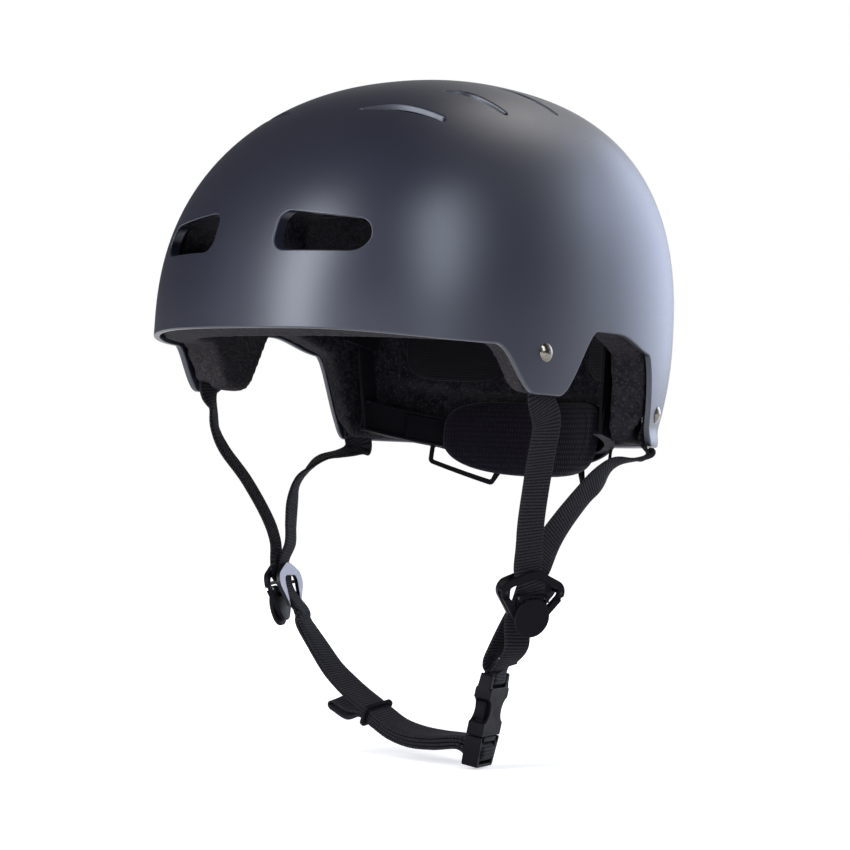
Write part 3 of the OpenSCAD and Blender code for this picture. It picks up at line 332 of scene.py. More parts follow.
# walls of the vents and the rim: rings from a rolled lip outside to one inside
count = len(outer)
inner = outer - shell_t * normal
faces, cut, facing = [tri, tri[:, ::-1] + count], [0 * outer[:, 0]] * 2, [normal, -normal]
quads, made, rims = [], 2 * count, []
turns = np.radians([25, 50, 75, 90])[:, None, None]
for k, q in enumerate(loops):
    is_rim = k == len(loops) - 1
    is_front = k % 4 == 0 and not is_rim
    ids = np.arange(starts[k], starts[k] + len(q))
    p, n = outer[ids], normal[ids]
    t = unit(np.roll(p, -1, axis=0) - np.roll(p, 1, axis=0))
    out = np.cross(n, t)
    aim = np.array([[0, 0, -1.0]]) if is_rim else p.mean(axis=0) - p
    sign = np.sign((out * aim).sum())
    # depth is cut straight back at the front vents and straight down at the crown vents
    way = n if is_rim else np.array([[0, -1.0, 0] if is_front else [0, 0, 1.0]])
    deep = -way / (way * n).sum(axis=1, keepdims=True)
    out = sign * out
    wall = unit(np.cross(t, deep) * np.sign((np.cross(t, deep) * out).sum(axis=1, keepdims=True)))
    lip = lip_r * (out * np.sin(turns) + deep * (1 - np.cos(turns)))
    turned = unit(n * np.cos(turns) + wall * np.sin(turns))
    end = vent_depth * (way * n).sum(axis=1, keepdims=True) if is_front else shell_t
    foot = end * deep + (lip_r * (out * np.sin(turns) - deep * (1 - np.cos(turns))))[::-1]
    heel = unit(wall * np.sin(turns) - n * np.cos(turns))[::-1]
    rings, look = [*(p + lip), *(p + foot)], [*turned, *heel]
    if is_front:
        rings += [p + end * deep, p + (shell_t + 0.1) * deep]
        look += [-n, -wall]
    inner[ids] = p + shell_t * deep
    rows = [ids] + [made + len(q) * j + np.arange(len(q)) for j in range(len(rings))]
    rows.append(ids + count)
    for lower, upper in zip(rows[:-1], rows[1:]):
        quad = np.stack([lower, np.roll(lower, -1), np.roll(upper, -1), upper], -1)
        quads.append(quad if sign > 0 else quad[:, ::-1])
    rims += rings
    facing += look
    cut += [np.full(len(q), v * is_rim) for v in [0.2, 0.8] + [1] * (len(rings) - 2)]
    made += len(q) * len(rings)
shell = mesh_piece("shell", np.vstack([outer, inner] + rims),
                   [f for group in faces + quads for f in group], paint, "helmet")
shell.data.attributes.new("cut", "FLOAT", "POINT").data.foreach_set("value", np.concatenate(cut))
shell.data.normals_split_custom_set_from_vertices(np.vstack(facing).tolist())
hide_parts("outer_shell")


# Foam liner. Expanded bead foam moulded to the shell, dark, with the beads showing as a mottle,
# made paler on faces that look down and beside the head in front of the ears, and painted lighter
# near the crown as painted light from above on the foam seen in the crown vents. Its edges are
# soft.
bead_scale = 330.0
foam, add, join = finish_of("bead foam", Roughness=0.85, Specular_IOR_Level=0.08)
where = add("ShaderNodeTexCoord").outputs["Object"]
beads = add("ShaderNodeTexVoronoi", (0, where), in_2=bead_scale)
shade = ramp(add, beads.outputs["Color"],
             [(0.15, (0.0065, 0.0063, 0.0095)), (0.85, (0.0165, 0.0155, 0.0205))])
dust = add("ShaderNodeTexNoise", (0, where), in_2=750.0, in_3=4.0).outputs[0]
speck = add("ShaderNodeMix", (0, ramp(add, dust, [(0.52, 0.0), (0.66, 0.8)])), (6, shade),
            data_type="RGBA", in_7=(0.037, 0.034, 0.040, 1))
# paler: faces that look down and faces beside the head in front of the ears; painted light: the
# foam near the crown, lightened as if lit from above
upward = add("ShaderNodeSeparateXYZ", (0, add("ShaderNodeTexCoord").outputs["Normal"])).outputs[2]
downward = add("ShaderNodeMath", (0, upward), operation="MULTIPLY", in_1=-0.7)
place = add("ShaderNodeSeparateXYZ", (0, where))
out = add("ShaderNodeMath", (0, place.outputs[0]), operation="ABSOLUTE")
tab = add("ShaderNodeMapRange", (0, out.outputs[0]), in_1=0.076, in_2=0.090)
ahead = add("ShaderNodeMapRange", (0, place.outputs[1]), in_1=0.0, in_2=-0.02)
beside = add("ShaderNodeMath", (0, tab.outputs[0]), (1, ahead.outputs[0]), operation="MULTIPLY")
low_cut = add("ShaderNodeMath", (0, beside.outputs[0]), (2, downward.outputs[0]),
              operation="MULTIPLY_ADD", in_1=0.7, use_clamp=True)
# painted light from above: the foam near the crown is lightened where it shows in the crown vents
crown_painted_light = add("ShaderNodeMapRange", (0, place.outputs[2]), in_1=0.088, in_2=0.1)
paler_and_painted_light = add("ShaderNodeMath", (0, low_cut.outputs[0]), (2, crown_painted_light.outputs[0]),
           operation="MULTIPLY_ADD", in_1=0.33, use_clamp=True)
under = add("ShaderNodeMix", (0, paler_and_painted_light.outputs[0]), (6, speck.outputs[2]), data_type="RGBA",
            blend_type="ADD", in_7=(0.066, 0.058, 0.056, 1))
join(under.outputs[2], "Base Color")
gaps = add("ShaderNodeTexVoronoi", (0, where), feature="DISTANCE_TO_EDGE",
           in_2=bead_scale).outputs[0]
join(add("ShaderNodeBump", ("Height", ramp(add, gaps, [(0.0, 0.0), (0.25, 1.0)])), in_0=0.45,
         in_1=0.0006).outputs[0], "Normal")


def dressed(node, body, material, round_by=0.25, fold=32, weld=0.0):
    """A moulded solid with its doubles merged, flat regions joined and folded edges rounded

    Edges shorter than weld are closed up first, where they would cross over in the rounding
    """
    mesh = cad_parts[node].data.copy()
    work = bmesh.new()
    work.from_mesh(mesh)
    for near, level in ((0.002, 0.8), (weld, 1.5)):
        if near:
            bmesh.ops.remove_doubles(work, verts=work.verts, dist=near / 1000)
            bmesh.ops.dissolve_limit(work, angle_limit=math.radians(level), verts=work.verts,
                                     edges=work.edges)
    for f in work.faces:
        f.smooth = True
        f.material_index = 0
    work.to_mesh(mesh)
    work.free()
    mesh.materials.clear()
    mesh.materials.append(material)
    mesh.set_sharp_from_angle(angle=math.radians(fold))
    piece = bpy.data.objects.new(node + "_form", mesh)
    scene.collection.objects.link(piece)
    if round_by:
        bevel = piece.modifiers.new("rounded edges", "BEVEL")
        bevel.width = round_by / 1000
        bevel.segments = 2
        bevel.limit_method = "ANGLE"
        bevel.angle_limit = math.radians(fold)
        bevel.use_clamp_overlap = False
        bevel.harden_normals = True
    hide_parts(node)
    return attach(piece, body)


liner = dressed("foam_liner", "helmet", foam, round_by=0, fold=40)
skinned = liner.modifiers.new("moulded skin", "REMESH")
skinned.mode = "VOXEL"
skinned.voxel_size = 0.0021
skinned.use_smooth_shade = True
rounded = liner.modifiers.new("rounded edges", "SMOOTH")
rounded.factor = 0.5
rounded.iterations = 4


# Comfort pads. Slices of soft foam under brushed cloth, heat-pressed round the edge to a flat
# hem and fixed to the liner. The brow pad runs round the forehead.
foam_in = shell_t + 0.5
foam_side, foam_end, foam_top = 16, 20, 26
hem, pad_lift = 0.12, 1.1


def pad_cloth(name, colour, pitch, deep):
    """Knitted lining: ribs pitch metres apart across finer courses, with a nap and a soft sheen"""
    cloth, add, join = finish_of(name, Roughness=0.9, Specular_IOR_Level=0.06, Sheen_Weight=0.08,
                                 Sheen_Roughness=0.5)
    place = add("ShaderNodeUVMap", uv_map="UVMap").outputs[0]
    ribs = add("ShaderNodeTexWave", (0, place), in_1=math.pi / (10 * pitch), in_2=0.6, in_3=2.0,
               in_4=4.0, bands_direction="X")
    cross = add("ShaderNodeTexWave", (0, place), in_1=math.pi / (10 * pitch * 1.7), in_2=0.8,
                in_3=2.0, in_4=4.0, bands_direction="Y")
    both = add("ShaderNodeMath", (0, ribs.outputs["Fac"]), (1, cross.outputs["Fac"]),
               operation="MULTIPLY")
    dark = tuple(0.55 * v for v in colour)
    join(ramp(add, both.outputs[0], [(0.1, dark), (0.8, colour)]), "Base Color")
    join(add("ShaderNodeBump", ("Height", both.outputs[0]), in_0=deep, in_1=0.0004).outputs[0],
         "Normal")
    return cloth


def pressed(f, t):
    """Height of a pad above its back at a share f of the way out: a root of one less f to the
    fourth, over a third of the thickness t, with a narrow dip where the hem begins"""
    crown = t * (0.35 + 0.65 * np.sqrt(np.clip(1 - f ** 4, 0, 1)))
    welt = 0.5 * np.exp(-((f - (1 - hem)) / 0.018) ** 2)
    return crown - welt * (f < 0.99)


def pad_piece(name, spot, t, material, cols, rings, body="helmet"):
    """A closed pad: back and face are rings of spots about a middle, joined at the rim"""
    f = np.sqrt(np.linspace(0, 1, rings + 1)[1:]) ** 1.3
    a = np.arange(cols) * 2 * np.pi / cols
    fg, ag = np.meshgrid(f, a, indexing="ij")
    face = spot(ag, fg, pressed(fg, t))
    rear = spot(ag, fg * np.where(fg > 0.999, 0.985, 1), 0 * fg)
    tip = [spot(np.zeros(1), np.zeros(1), np.full(1, v))[0] for v in (t, 0.0)]
    pts = np.vstack([face.reshape(-1, 3), rear.reshape(-1, 3), tip])
    i, n = np.arange(cols), (np.arange(cols) + 1) % cols
    quads = [np.stack([k * cols + i, k * cols + n, (k + 1) * cols + n, (k + 1) * cols + i], -1)
             for k in range(rings - 1)]
    low = rings * cols
    quads += [q[:, ::-1] + low for q in quads]
    last = (rings - 1) * cols
    quads.append(np.stack([last + i, last + n, low + last + n, low + last + i], -1))
    fans = [np.stack([n, i, 0 * i + 2 * low], -1),
            np.stack([i + low, n + low, 0 * i + 2 * low + 1], -1)]
    if np.dot(np.cross(pts[n[0]] - pts[0], pts[cols] - pts[0]), tip[0] - tip[1]) > 0:
        quads, fans = [q[:, ::-1] for q in quads], [q[:, ::-1] for q in fans]
    pad = mesh_piece(name, pts, [q for group in quads + fans for q in group], material, body)
    lay_cloth(pad)
    return pad


def lay_cloth(piece):
    """Cloth laid on by distance: round the helmet one way, up it the other, in metres"""
    co = np.empty(len(piece.data.vertices) * 3)
    piece.data.vertices.foreach_get("co", co)
    x, y, z = co.reshape(-1, 3).T
    corner = np.empty(len(piece.data.loops), int)
    piece.data.loops.foreach_get("vertex_index", corner)
    if abs(x.mean()) < 0.02 and z.min() > 0.06:
        cloth = np.stack([x, y], -1)
    else:
        cloth = np.stack([0.1 * np.arctan2(np.abs(x) if abs(x.mean()) > 0.02 else x,
                                           -y if y.mean() < 0 else y), z], -1)
    piece.data.uv_layers.new(name="UVMap").data.foreach_set("uv", cloth[corner].ravel())


def liner_spot(phi, z, half_phi, half_z):
    """Place on the foam's inner face of a pad's own coordinates: a superellipse of half_phi
    degrees by half_z about a middle, at a turn a, a share f of the way out and up off its back"""
    def spot(a, f, up):
        ca, sa = np.cos(a), np.sin(a)
        u = f * np.sign(ca) * np.abs(ca) ** 0.55
        v = f * np.sign(sa) * np.abs(sa) ** 0.55
        d = foam_in + up + pad_lift
        return skin(phi + half_phi * u, z + half_z * v, d + foam_side, d + foam_end, d + foam_top)
    return spot


def mirrored(spot):
    """The same places with x turned about"""
    def other(a, f, up):
        return spot(a, f, up) * np.array([-1, 1, 1])
    return other


lining = pad_cloth("brushed lining", (0.016, 0.015, 0.019), 0.0009, 0.5)
pads = {"brow_pad": pad_piece("brow_cushion", liner_spot(0, 22, 44, 13), 6, lining, 160, 26)}
for node, spot in (("side_pad", liner_spot(97, 33, 14, 15)),
                   ("rear_pad", liner_spot(153, 12, 14, 20))):
    for hand, place in (("left", spot), ("right", mirrored(spot))):
        pads[f"{node}_{hand}"] = pad_piece(f"{node}_cushion_{hand}", place, 6, lining, 96, 22)


def crown_spot(a, f, up):
    """Place under the crown of the pad's own coordinates, its rim a ring with four waves"""
    u = np.radians(90 - f * (46 + 7 * np.cos(4 * a)))
    side, end, d = [foam_in + deep + up + pad_lift for deep in (foam_side, foam_end, foam_top)]
    z = widest_z + (crown_z - widest_z - d) * np.sin(u) ** (2 / rise_power)
    return skin(np.degrees(a), z, side, end, d)


pads["crown_pad"] = pad_piece("crown_cushion", crown_spot, 6, lining, 144, 26)
for node, pad in pads.items():
    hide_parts(node)


# Rivets and washers. Turned nickel-plated steel, domed outside, with flat washers inside that
# clamp the webbing against the shell.
def metal(name, colour, rough):
    """Polished metal, duller and darker in small worn patches"""
    plate, add, join = finish_of(name, Metallic=1.0)
    where = add("ShaderNodeTexCoord").outputs["Object"]
    wear = add("ShaderNodeTexNoise", (0, where), in_2=700.0, in_3=5.0).outputs[0]
    low = tuple(0.7 * v for v in colour)
    join(ramp(add, wear, [(0.35, low), (0.6, colour)]), "Base Color")
    join(ramp(add, wear, [(0.3, rough), (0.75, rough + 0.18)]), "Roughness")
    join(add("ShaderNodeBump", ("Height", wear), in_0=0.08, in_1=0.00005).outputs[0], "Normal")
    return plate


nickel = metal("nickel plate", (0.21, 0.19, 0.17), 0.12)
steel = metal("bright steel", (0.45, 0.45, 0.46), 0.3)
dressed("front_rivets", "helmet", nickel, round_by=0.12)
dressed("rear_rivets", "helmet", nickel, round_by=0.12)
dressed("rivet_washers", "helmet", steel, round_by=0.15)


# Webbing. One flat woven polyester band a side, 15 mm wide: from the front rivet down through the
# divider, round the buckle's bar and back to the rear rivet. The right one ends in a loose fold.
web_w, web_t, web_gap = 15, 1.4, 0.5
web_under, key_steps = 4.45, 12
step_t = web_t + web_gap
rivet_front, rivet_rear = (70, -2.3), (126, -26)
divider_left, divider_right = np.array([78, -4.5, -117.5]), np.array([78.5, -2, -121.5])
buckle_at = np.array([51.5, 1.2, -177.7])
mirror = np.array([-1.0, 1, 1])


def at_skin(place, q):
    """A point given from a rivet's place: down the skin, along it and outward"""
    phi, z = place
    p = skin(phi, z)
    n = unit(np.cross(skin(phi + 1, z) - p, skin(phi, z + 1) - p))
    y = unit(np.array([-n[1], n[0], 0]))
    return p + q[0] * np.cross(y, n) + q[1] * y + q[2] * n


def under_shell(place, run, lean=0.0):
    """Keys of the webbing under the shell at a rivet: each is web_under below the skin and the
    run's square over 400 more, and drifts back by lean a millimetre"""
    way = at_skin(place, (0, 1, 0)) - at_skin(place, (0, 0, 0))
    return [(at_skin(place, (x, lean * x, -web_under - x * x / 400)), way) for x in run]


def placed(p, at, lean, turn):
    """A point of a fitting's own frame, leant about y, turned about z and moved to its place"""
    lean, turn = math.radians(lean), math.radians(turn)
    x, y, z = p
    x, z = x * math.cos(lean) + z * math.sin(lean), -x * math.sin(lean) + z * math.cos(lean)
    return at + np.array([x * math.cos(turn) - y * math.sin(turn),
                          x * math.sin(turn) + y * math.cos(turn), z])


def on_divider(p, at=divider_left):
    """A point of the left divider's frame"""
    return placed(p, at, 14, -21)


def on_buckle(p):
    """A point of the buckle's frame"""
    return placed(p, buckle_at, 10.5, 15)


def keyed(*keys):
    """Keys of a run: places, each with the direction of the band's width there"""
    return [(np.array(p, float), np.array(w, float)) for p, w in keys]


def flip(keys):
    """Keys of a left run turned about for the right side"""
    return [(p * mirror, w * mirror) for p, w in keys]


def divider_run(off, y, at):
    """Keys through a divider, off outward of its middle: in at y, swollen a little in the
    opening where the layer is the outer one, and down through the back ring"""
    way = on_divider((0, 1, 0)) - divider_left
    swell = 1.3 if off > 0 else 0
    return [(on_divider(p, at), way) for p in
            ((off, y, 14.5), (off + swell, y / 2, 8), (off, 0, 2.5), (off - 1.8, 0, -4),
             (off - 6.6, 0, -13))]


bar_way = on_buckle((0, 1, 0)) - buckle_at


def around(z, r, a0, a1, n):
    """Keys round a bar of the buckle at height z, n steps of a circle from angle a0 to a1"""
    return [(on_buckle((r * math.cos(a), 0, z + r * math.sin(a))), bar_way)
            for a in np.radians(np.linspace(a0, a1, n + 1))]


def layer(keys, off):
    """The same run moved by off to the side of its flat face"""
    p = np.array([k[0] for k in keys])
    w = np.array([k[1] for k in keys])
    ahead = np.vstack([p[1:], p[-1:]]) - np.vstack([p[:1], p[:-1]])
    t = unit(ahead)
    flat_w = unit(w - (w * t).sum(1, keepdims=True) * t)
    return list(zip(p + off * np.cross(t, flat_w), w))


front_run = under_shell(rivet_front, (-9.5, 0, 10, 20), 0.11) + keyed(
    ((102, -28.3, -33.5), (0.36, 0.93, 0)), ((98, -25, -46), (0.36, 0.93, 0)),
    ((91.5, -19.6, -62), (0.36, 0.93, 0)), ((87, -16.7, -80), (0.36, 0.93, 0)),
    ((84, -13.5, -93), (0.36, 0.93, 0)))
rear_run = under_shell(rivet_rear, (-9.5, 0, 8, 13.5)) + keyed(
    ((93.9, 70.6, -45.6), (-0.62, 0.78, 0)), ((93, 61, -48.9), (-0.98, 0.15, -0.1)),
    ((92, 50.8, -50.8), (-0.93, 0.2, -0.3)), ((91, 40.8, -54.3), (-0.5, 0.5, -0.7)),
    ((89.5, 32.5, -60.6), (-0.15, 0.83, -0.53)), ((87.5, 25.1, -67.3), (-0.15, 0.83, -0.53)),
    ((84, 13.2, -80.6), (0, 0.9, -0.4)), ((81.5, 5, -92), (0.2, 0.9, -0.25)))
right_front_run = flip(under_shell(rivet_front, (-9.5, 0, 10, 20))) + keyed(
    ((-101.5, -37.5, -31), (-0.5, 0.86, 0)), ((-97.5, -39.5, -41), (-0.45, 0.89, 0)),
    ((-94, -36, -51), (-0.35, 0.93, 0)), ((-89, -24, -66), (-0.35, 0.93, 0)),
    ((-84.5, -12.5, -84), (-0.36, 0.93, 0)), ((-82.5, -7, -97), (-0.36, 0.93, 0)))
right_rear_run = [(p, -w) for p, w in flip(under_shell(rivet_rear, (-9.5, 0, 8, 13.5)))] + keyed(
    ((-92.9, 70, -45.6), (-0.62, -0.78, 0)), ((-92.9, 61, -48.9), (-0.98, -0.15, 0.1)),
    ((-90, 43, -51.5), (-0.97, -0.15, 0)), ((-88, 31, -55), (-0.93, 0, -0.3)),
    ((-86, 18.5, -62), (-0.76, 0.23, -0.6)), ((-84, 10, -68.5), (-0.45, 0.65, -0.6)),
    ((-82, 4.6, -78), (-0.3, 0.84, -0.45)), ((-80.6, 2.5, -88), (-0.33, 0.9, -0.25)),
    ((-79.6, 1.5, -98), (-0.36, 0.93, -0.1)))
bar_turn = 1.6 + 0.3 + web_t / 2
left_path = (
    front_run + divider_run(step_t / 2, -4, divider_left)
    + keyed(((70, -1.5, -142), (0.25, 0.96, 0)), ((63, 0.3, -150.5), (0, 1, 0)))
    + [(on_buckle((bar_turn, 0, 25)), bar_way)] + around(19.5, bar_turn, 0, -180, 6)
    + [(on_buckle((-bar_turn, 0, 24.5)), bar_way)]
    + keyed(((54.5, 0.3, -149), (-0.1, 0.99, 0)), ((60, -1, -141.5), (0.15, 0.97, 0)))
    + divider_run(-step_t / 2, 2.5, divider_left)[::-1] + rear_run[::-1])
chin_run = keyed(
    ((-66, -0.5, -138.5), (-0.25, 0.95, 0)), ((-57.5, 0, -148.5), (-0.15, 0.97, 0.1)),
    ((-46.5, 0, -160), (-0.1, 0.97, 0.2)), ((-36, 0, -167.8), (0, 0.97, 0.25)),
    ((-28, 0, -172.6), (0, 0.97, 0.25)), ((-20, 0, -176.8), (0, 0.97, 0.25)),
    ((-12, 0, -181.2), (0, 0.97, 0.25)), ((-2, 0, -186), (0, 0.97, 0.25)),
    ((10, 0, -188.6), (0, 0.97, 0.25)), ((24, 0, -189), (-0.1, 0.98, 0.15))) + [
    (on_buckle((-9.5, 0, -12.5)), bar_way)]
tail_run = chin_run[:4:-1]
right_path = (
    right_front_run + flip(divider_run(step_t / 2, -4, divider_right)) + layer(chin_run, step_t / 2)
    + around(-16.4, bar_turn + step_t, 108, -130, 6) + layer(tail_run, 2.5 * step_t)
    + keyed(((-30, 0, -182.6), (0, 0.97, 0.25)), ((-38, 0, -179.6), (0, 0.97, 0.25)),
            ((-41.2, 0, -178), (0, 0.97, 0.25)), ((-41.4, 0, -176), (0, 0.97, 0.25)),
            ((-38.8, 0, -175.2), (0, 0.97, 0.25)), ((-30.5, 0, -178.4), (0, 0.97, 0.25)))
    + layer(tail_run, 1.5 * step_t)[::-1] + around(-16.4, bar_turn, 108, -130, 6)[::-1]
    + layer(chin_run, -step_t / 2)[::-1]
    + flip(divider_run(-step_t / 2, 2.5, divider_right))[::-1] + right_rear_run[::-1])

# weave: ribs across the band times yarns along it, broken up a little, with a plain raised hem
weave, add, join = finish_of("woven webbing", Roughness=0.75, Specular_IOR_Level=0.06,
                             Sheen_Weight=0.03, Sheen_Roughness=0.45)
place = add("ShaderNodeSeparateXYZ", (0, add("ShaderNodeUVMap", uv_map="UVMap").outputs[0]))
across, along = place.outputs[0], place.outputs[1]


def wave(source, pitch):
    """Half and half a sine: 0 to 1 and back once every pitch metres"""
    turn = add("ShaderNodeMath", (0, source), operation="MULTIPLY", in_1=2 * math.pi / pitch)
    up = add("ShaderNodeMath", (0, turn.outputs[0]), operation="SINE")
    return add("ShaderNodeMath", (0, up.outputs[0]), operation="MULTIPLY_ADD", in_1=0.5,
               in_2=0.5).outputs[0]


rib = wave(along, 0.0016)
warp = wave(across, 0.0009)
yarn = add("ShaderNodeMath", (0, warp), operation="MULTIPLY_ADD", in_1=0.35, in_2=0.65)
knit = add("ShaderNodeMath", (0, rib), (1, yarn.outputs[0]), operation="MULTIPLY")
reach = add("ShaderNodeMath", (0, across), operation="ABSOLUTE")
hem_line = add("ShaderNodeMath", (0, reach.outputs[0]), operation="GREATER_THAN", in_1=0.0064)
fuzz = add("ShaderNodeTexNoise", (0, add("ShaderNodeTexCoord").outputs["Object"]), in_2=1200.0,
           in_3=3.0)
shade = add("ShaderNodeMath", (0, knit.outputs[0]), (1, fuzz.outputs[0]), operation="ADD")
join(ramp(add, shade.outputs[0], [(0.3, (0.004, 0.004, 0.005)), (0.9, (0.013, 0.0125, 0.016)),
                                  (1.0, (0.026, 0.025, 0.031))]), "Base Color")
lift = add("ShaderNodeMath", (0, hem_line.outputs[0]), (1, knit.outputs[0]), operation="MAXIMUM")
join(add("ShaderNodeBump", ("Height", lift.outputs[0]), in_0=0.6, in_1=0.00035).outputs[0],
     "Normal")


def webbing(name, keys, node):
    """A band swept along its keys, which a cubic through each four in turn joins smoothly, its
    section a flat strip with half-round edges. Gives the run's length in metres"""
    p = np.array([k[0] for k in keys])
    w = np.array([k[1] for k in keys])
    last = len(p) - 1
    s = np.arange(last * key_steps + 1) / key_steps
    i = np.minimum(s.astype(int), last - 1)
    t = (s - i)[:, None]
    fine = []
    for v in (p, w):
        a, b, c, d = v[np.maximum(i - 1, 0)], v[i], v[i + 1], v[np.minimum(i + 2, last)]
        fine.append(0.5 * (2 * b + (c - a) * t + (2 * a - 5 * b + 4 * c - d) * t * t
                           + (3 * b - a - 3 * c + d) * t * t * t))
    p, w = fine
    ahead = unit(np.vstack([p[1:], p[-1:]]) - np.vstack([p[:1], p[:-1]]))
    w = unit(w - (w * ahead).sum(1, keepdims=True) * ahead)
    n = np.cross(ahead, w)
    q = np.radians([0, 30, 60] + [90] * 5 + [120, 150, 180, 210, 240] + [270] * 5 + [300, 330])
    flat_x = np.array([1, 1, 1, 1, 0.6, 0.2, -0.2, -0.6, -1, -1])
    flat_x = np.append(flat_x, -flat_x)
    core = web_w / 2 - web_t / 2
    x = flat_x * core + np.cos(q) * web_t / 2 * (np.abs(flat_x) > 0.9)
    y = np.sin(q) * web_t / 2
    ring = p[:, None] + w[:, None] * x[None, :, None] + n[:, None] * y[None, :, None]
    m, rows = len(q), len(p)
    k, j = np.meshgrid(np.arange(rows - 1), np.arange(m), indexing="ij")
    quads = np.stack([k * m + j, k * m + (j + 1) % m, (k + 1) * m + (j + 1) % m,
                      (k + 1) * m + j], -1)
    faces = [*quads.reshape(-1, 4)[:, ::-1], np.arange(m), np.arange(m)[::-1] + (rows - 1) * m]
    band = mesh_piece(name, ring.reshape(-1, 3), faces, weave, "helmet")
    run = np.append(0, np.cumsum(np.linalg.norm(np.diff(p, axis=0), axis=1))) / 1000
    uv = np.stack([np.tile(x / 1000, rows), np.repeat(run, m)], -1)
    corner = np.empty(len(band.data.loops), int)
    band.data.loops.foreach_get("vertex_index", corner)
    band.data.uv_layers.new(name="UVMap").data.foreach_set("uv", uv[corner].ravel())
    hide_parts(node)
    return run[-1]


web_long = [webbing("band_left", left_path, "webbing_left"),
            webbing("band_right", right_path, "webbing_right")]
print("webbing lengths in m:", [round(float(v), 3) for v in web_long])


# Moulded fittings. Dividers, buckle, keeper and cradle are injection-moulded nylon and acetal,
# satin black, with a fine grain. The dividers' back rings are pale on the inside.
def moulded(name, colour, rough, deep):
    """Satin moulding plastic: fine grain and a slight cloud in the gloss"""
    plastic, add, join = finish_of(name, Base_Color=(*colour, 1), Specular_IOR_Level=0.05)
    where = add("ShaderNodeTexCoord").outputs["Object"]
    cloud = add("ShaderNodeTexNoise", (0, where), in_2=120.0, in_3=3.0).outputs[0]
    fine = add("ShaderNodeTexNoise", (0, where), in_2=1300.0, in_3=2.0).outputs[0]
    join(ramp(add, cloud, [(0.3, rough - 0.05), (0.7, rough + 0.08)]), "Roughness")
    join(add("ShaderNodeBump", ("Height", fine), in_0=deep, in_1=0.0001).outputs[0], "Normal")
    return plastic


black = moulded("satin black plastic", (0.006, 0.0055, 0.008), 0.46, 0.12)
soft_black = moulded("matt black plastic", (0.007, 0.0066, 0.009), 0.6, 0.2)
# pale where a face looks towards the helmet's middle, and black elsewhere
pale, add, join = finish_of("two-tone plastic", Roughness=0.4, Specular_IOR_Level=0.2)
own = add("ShaderNodeTexCoord").outputs
facing = add("ShaderNodeSeparateXYZ", (0, own["Normal"])).outputs[0]
place_x = add("ShaderNodeSeparateXYZ", (0, own["Object"])).outputs[0]
hand_x = add("ShaderNodeMath", (0, place_x), operation="SIGN").outputs[0]
outward = add("ShaderNodeMath", (0, facing), (1, hand_x), operation="MULTIPLY").outputs[0]
inward = add("ShaderNodeMath", (0, outward), operation="MULTIPLY", in_1=-1.0).outputs[0]
join(ramp(add, inward, [(0.45, (0.0062, 0.0058, 0.008)), (0.6, (0.46, 0.46, 0.56))]), "Base Color")
for hand in ("left", "right"):
    dressed(f"divider_frame_{hand}", "helmet", black, 0.16, weld=0.15)
    dressed(f"divider_ring_{hand}", "helmet", pale, 0.14, weld=0.15)
    dressed(f"divider_cover_{hand}", f"cover_{hand[0]}", soft_black, 0.5)
dressed("cover_pins", "helmet", steel, 0.15)
dressed("buckle_socket", "helmet", black, 0.4)
dressed("buckle_plug", "helmet", black, 0.4)
dressed("buckle_prong_front", "prong_f", soft_black, 0.25)
dressed("buckle_prong_rear", "prong_r", soft_black, 0.25)
dressed("keeper_ring", "keeper", soft_black, 0.3)


# Cradle. A flexible nape band with arms up to the belts, closed by racks that the dial winds
# over each other. Its moulded parts are thin and matt, and its pinion and screw are steel.
dressed("cradle_yoke", "yoke", soft_black, 0.12, weld=0.15)
dressed("dial_cover_plate", "yoke", soft_black, 0.3)
dressed("dial_knob", "dial", soft_black, 0.2)
dressed("dial_pinion", "dial", steel, 0.1)
dressed("dial_screw", "dial", steel, 0.12)
dressed("rack_left", "rack_l", black, 0)
dressed("rack_right", "rack_r", black, 0)
for node in ("belt_left", "belt_right", "belt_pegs"):
    dressed(node, "helmet", soft_black, 0.2)


# Nape pad. Soft foam under fine-ribbed dark cloth, an oval that bears on the nape, fixed to the
# cradle's inner plate.
nape_back, cradle_y, cradle_z = 72.2, 40, -26.5
cradle_tilt = math.radians(10)


def nape_spot(a, f, up):
    """Place on the inside of the cradle's plate: on a drum nape_back in radius, a superellipse of
    45 degrees by 20, tilted with the cradle"""
    ca, sa = np.cos(a), np.sin(a)
    q = np.radians(90 - 45 * f * np.sign(ca) * np.abs(ca) ** 0.6)
    z = 20 * f * np.sign(sa) * np.abs(sa) ** 0.7
    r = nape_back - up
    x, y = r * np.cos(q), r * np.sin(q)
    return np.stack([x, cradle_y + y * math.cos(cradle_tilt) + z * math.sin(cradle_tilt),
                     cradle_z - y * math.sin(cradle_tilt) + z * math.cos(cradle_tilt)], -1)


ribbed = pad_cloth("ribbed nape cloth", (0.012, 0.010, 0.018), 0.0016, 0.8)
nape = pad_piece("nape_cushion", nape_spot, 7, ribbed, 144, 28, "yoke")
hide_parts("nape_pad")


# Studio. A pale floor at the buckle's lowest point, a white surround, and soft boxes that give
# the shell its upright highlights.
def seen_rays(add):
    """Where the background is seen as it is: rays from the camera or through clear things, and
    rays off glossy ones"""
    rays = add("ShaderNodeLightPath").outputs
    straight = add("ShaderNodeMath", (0, rays["Is Camera Ray"]), (1, rays["Is Transmission Ray"]),
                   operation="MAXIMUM")
    return straight.outputs[0], rays["Is Glossy Ray"]


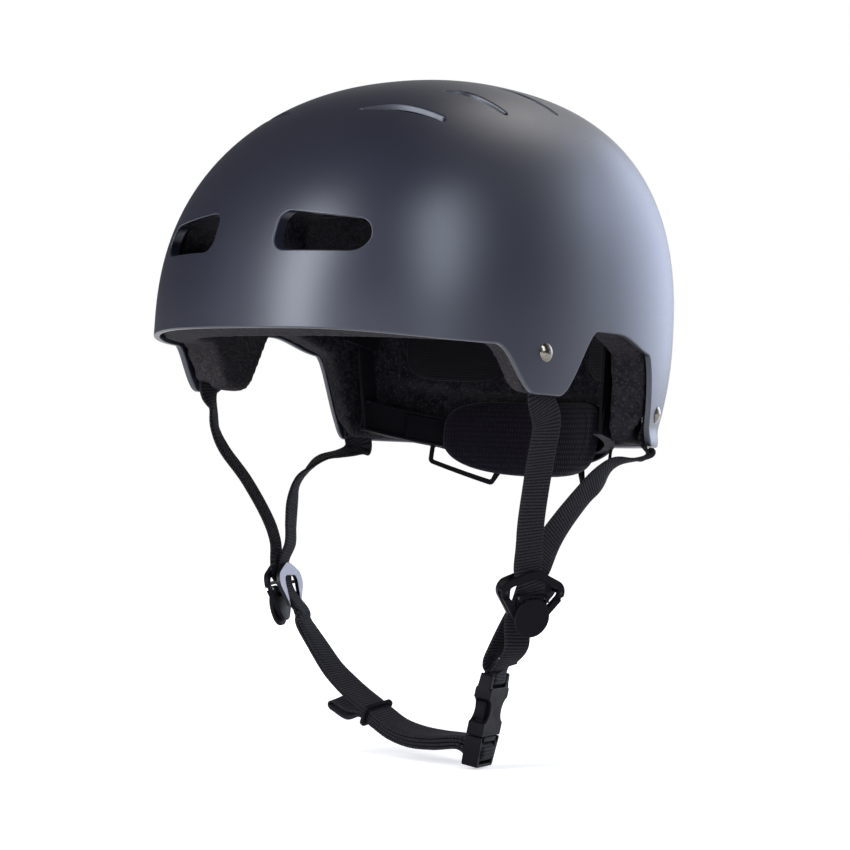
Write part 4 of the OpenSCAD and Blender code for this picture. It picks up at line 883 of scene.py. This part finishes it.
floor_mesh = bpy.data.meshes.new("floor")
low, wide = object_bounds()[0][2] - 0.001, 6
floor_mesh.from_pydata([(-wide, -wide, low), (wide, -wide, low), (wide, wide, low),
                        (-wide, wide, low)], [], [(0, 1, 2, 3)])
floor = bpy.data.objects.new("floor", floor_mesh)
scene.collection.objects.link(floor)
floor_paint, add, join = finish_of("pale floor", Base_Color=(0.85, 0.85, 0.86, 1), Roughness=0.8,
                                   Emission_Color=(1, 1, 1, 1))
straight, glossy = seen_rays(add)
shown = add("ShaderNodeMath", (0, straight), (1, glossy), operation="MAXIMUM")
reach = add("ShaderNodeVectorMath", (0, add("ShaderNodeTexCoord").outputs["Object"]),
            operation="LENGTH")
far = add("ShaderNodeMapRange", (0, reach.outputs["Value"]), in_1=0.15, in_2=0.9, in_3=0.5,
          in_4=1.0)
glow = add("ShaderNodeMath", (0, far.outputs[0]), (1, shown.outputs[0]), operation="MULTIPLY")
join(glow.outputs[0], "Emission Strength")
floor_mesh.materials.append(floor_paint)

# gloss shows the white wall that stands behind the helmet, and the dim room on the other sides
wall_az, dim_room = math.radians(175), 0.11
world = bpy.data.worlds.new("studio")
scene.world = world
world.use_nodes = True
sky = world.node_tree.nodes["Background"]
sky.inputs["Color"].default_value = (1, 1, 1, 1)
add = nodes_in(world.node_tree)
straight, glossy = seen_rays(add)
behind = add("ShaderNodeVectorMath", (0, add("ShaderNodeTexCoord").outputs["Generated"]),
             operation="DOT_PRODUCT", in_1=(math.sin(wall_az), -math.cos(wall_az), 0.15))
wall = add("ShaderNodeMapRange", (0, behind.outputs["Value"]), interpolation_type="SMOOTHSTEP",
           in_1=0.5, in_2=0.95)
wall_gloss = add("ShaderNodeMath", (0, wall.outputs[0]), (1, glossy), operation="MULTIPLY")
shown = add("ShaderNodeMath", (0, straight), (1, wall_gloss.outputs[0]), operation="MAXIMUM")
strength = add("ShaderNodeMapRange", (0, shown.outputs[0]), in_3=dim_room, in_4=1.0)
world.node_tree.links.new(strength.outputs[0], sky.inputs["Strength"])
scene.view_settings.view_transform = "Standard"


def soft_box(name, at, aim, wide, tall, watts, colour=(1, 1, 1)):
    """An area lamp at a place, facing a point: its own z is the way back from there, and its x
    lies level"""
    lamp = bpy.data.lights.new(name, "AREA")
    lamp.shape = "RECTANGLE"
    lamp.size, lamp.size_y = wide, tall
    lamp.energy = watts
    lamp.color = colour
    box = bpy.data.objects.new(name, lamp)
    scene.collection.objects.link(box)
    z = unit(np.array(at, float) - np.array(aim, float))
    x = unit(np.cross((0, 0, 1.0), z))
    box.matrix_world = Matrix(np.vstack([
        np.column_stack([x, np.cross(z, x), z, at]), [0, 0, 0, 1]]).tolist())


soft_box("front box", (-0.22, -1.7, 0.62), (0, -0.1, 0.0), 0.6, 1.9, 37)
soft_box("side box", (1.7, -0.55, 1.1), (0.1, 0, 0.03), 0.55, 1.5, 19, (0.93, 0.96, 1))
soft_box("rear box", (0.35, 2.1, 0.62), (0.1, 0.1, 0.03), 1.6, 1.35, 23, (0.66, 0.75, 1))
soft_box("top box", (0.0, 1.2, 1.7), (0, 0, 0.03), 0.8, 0.8, 4.5, (1, 0.93, 0.86))
soft_box("low box", (0.9, -1.4, -0.12), (0, 0, -0.05), 0.9, 0.14, 2)
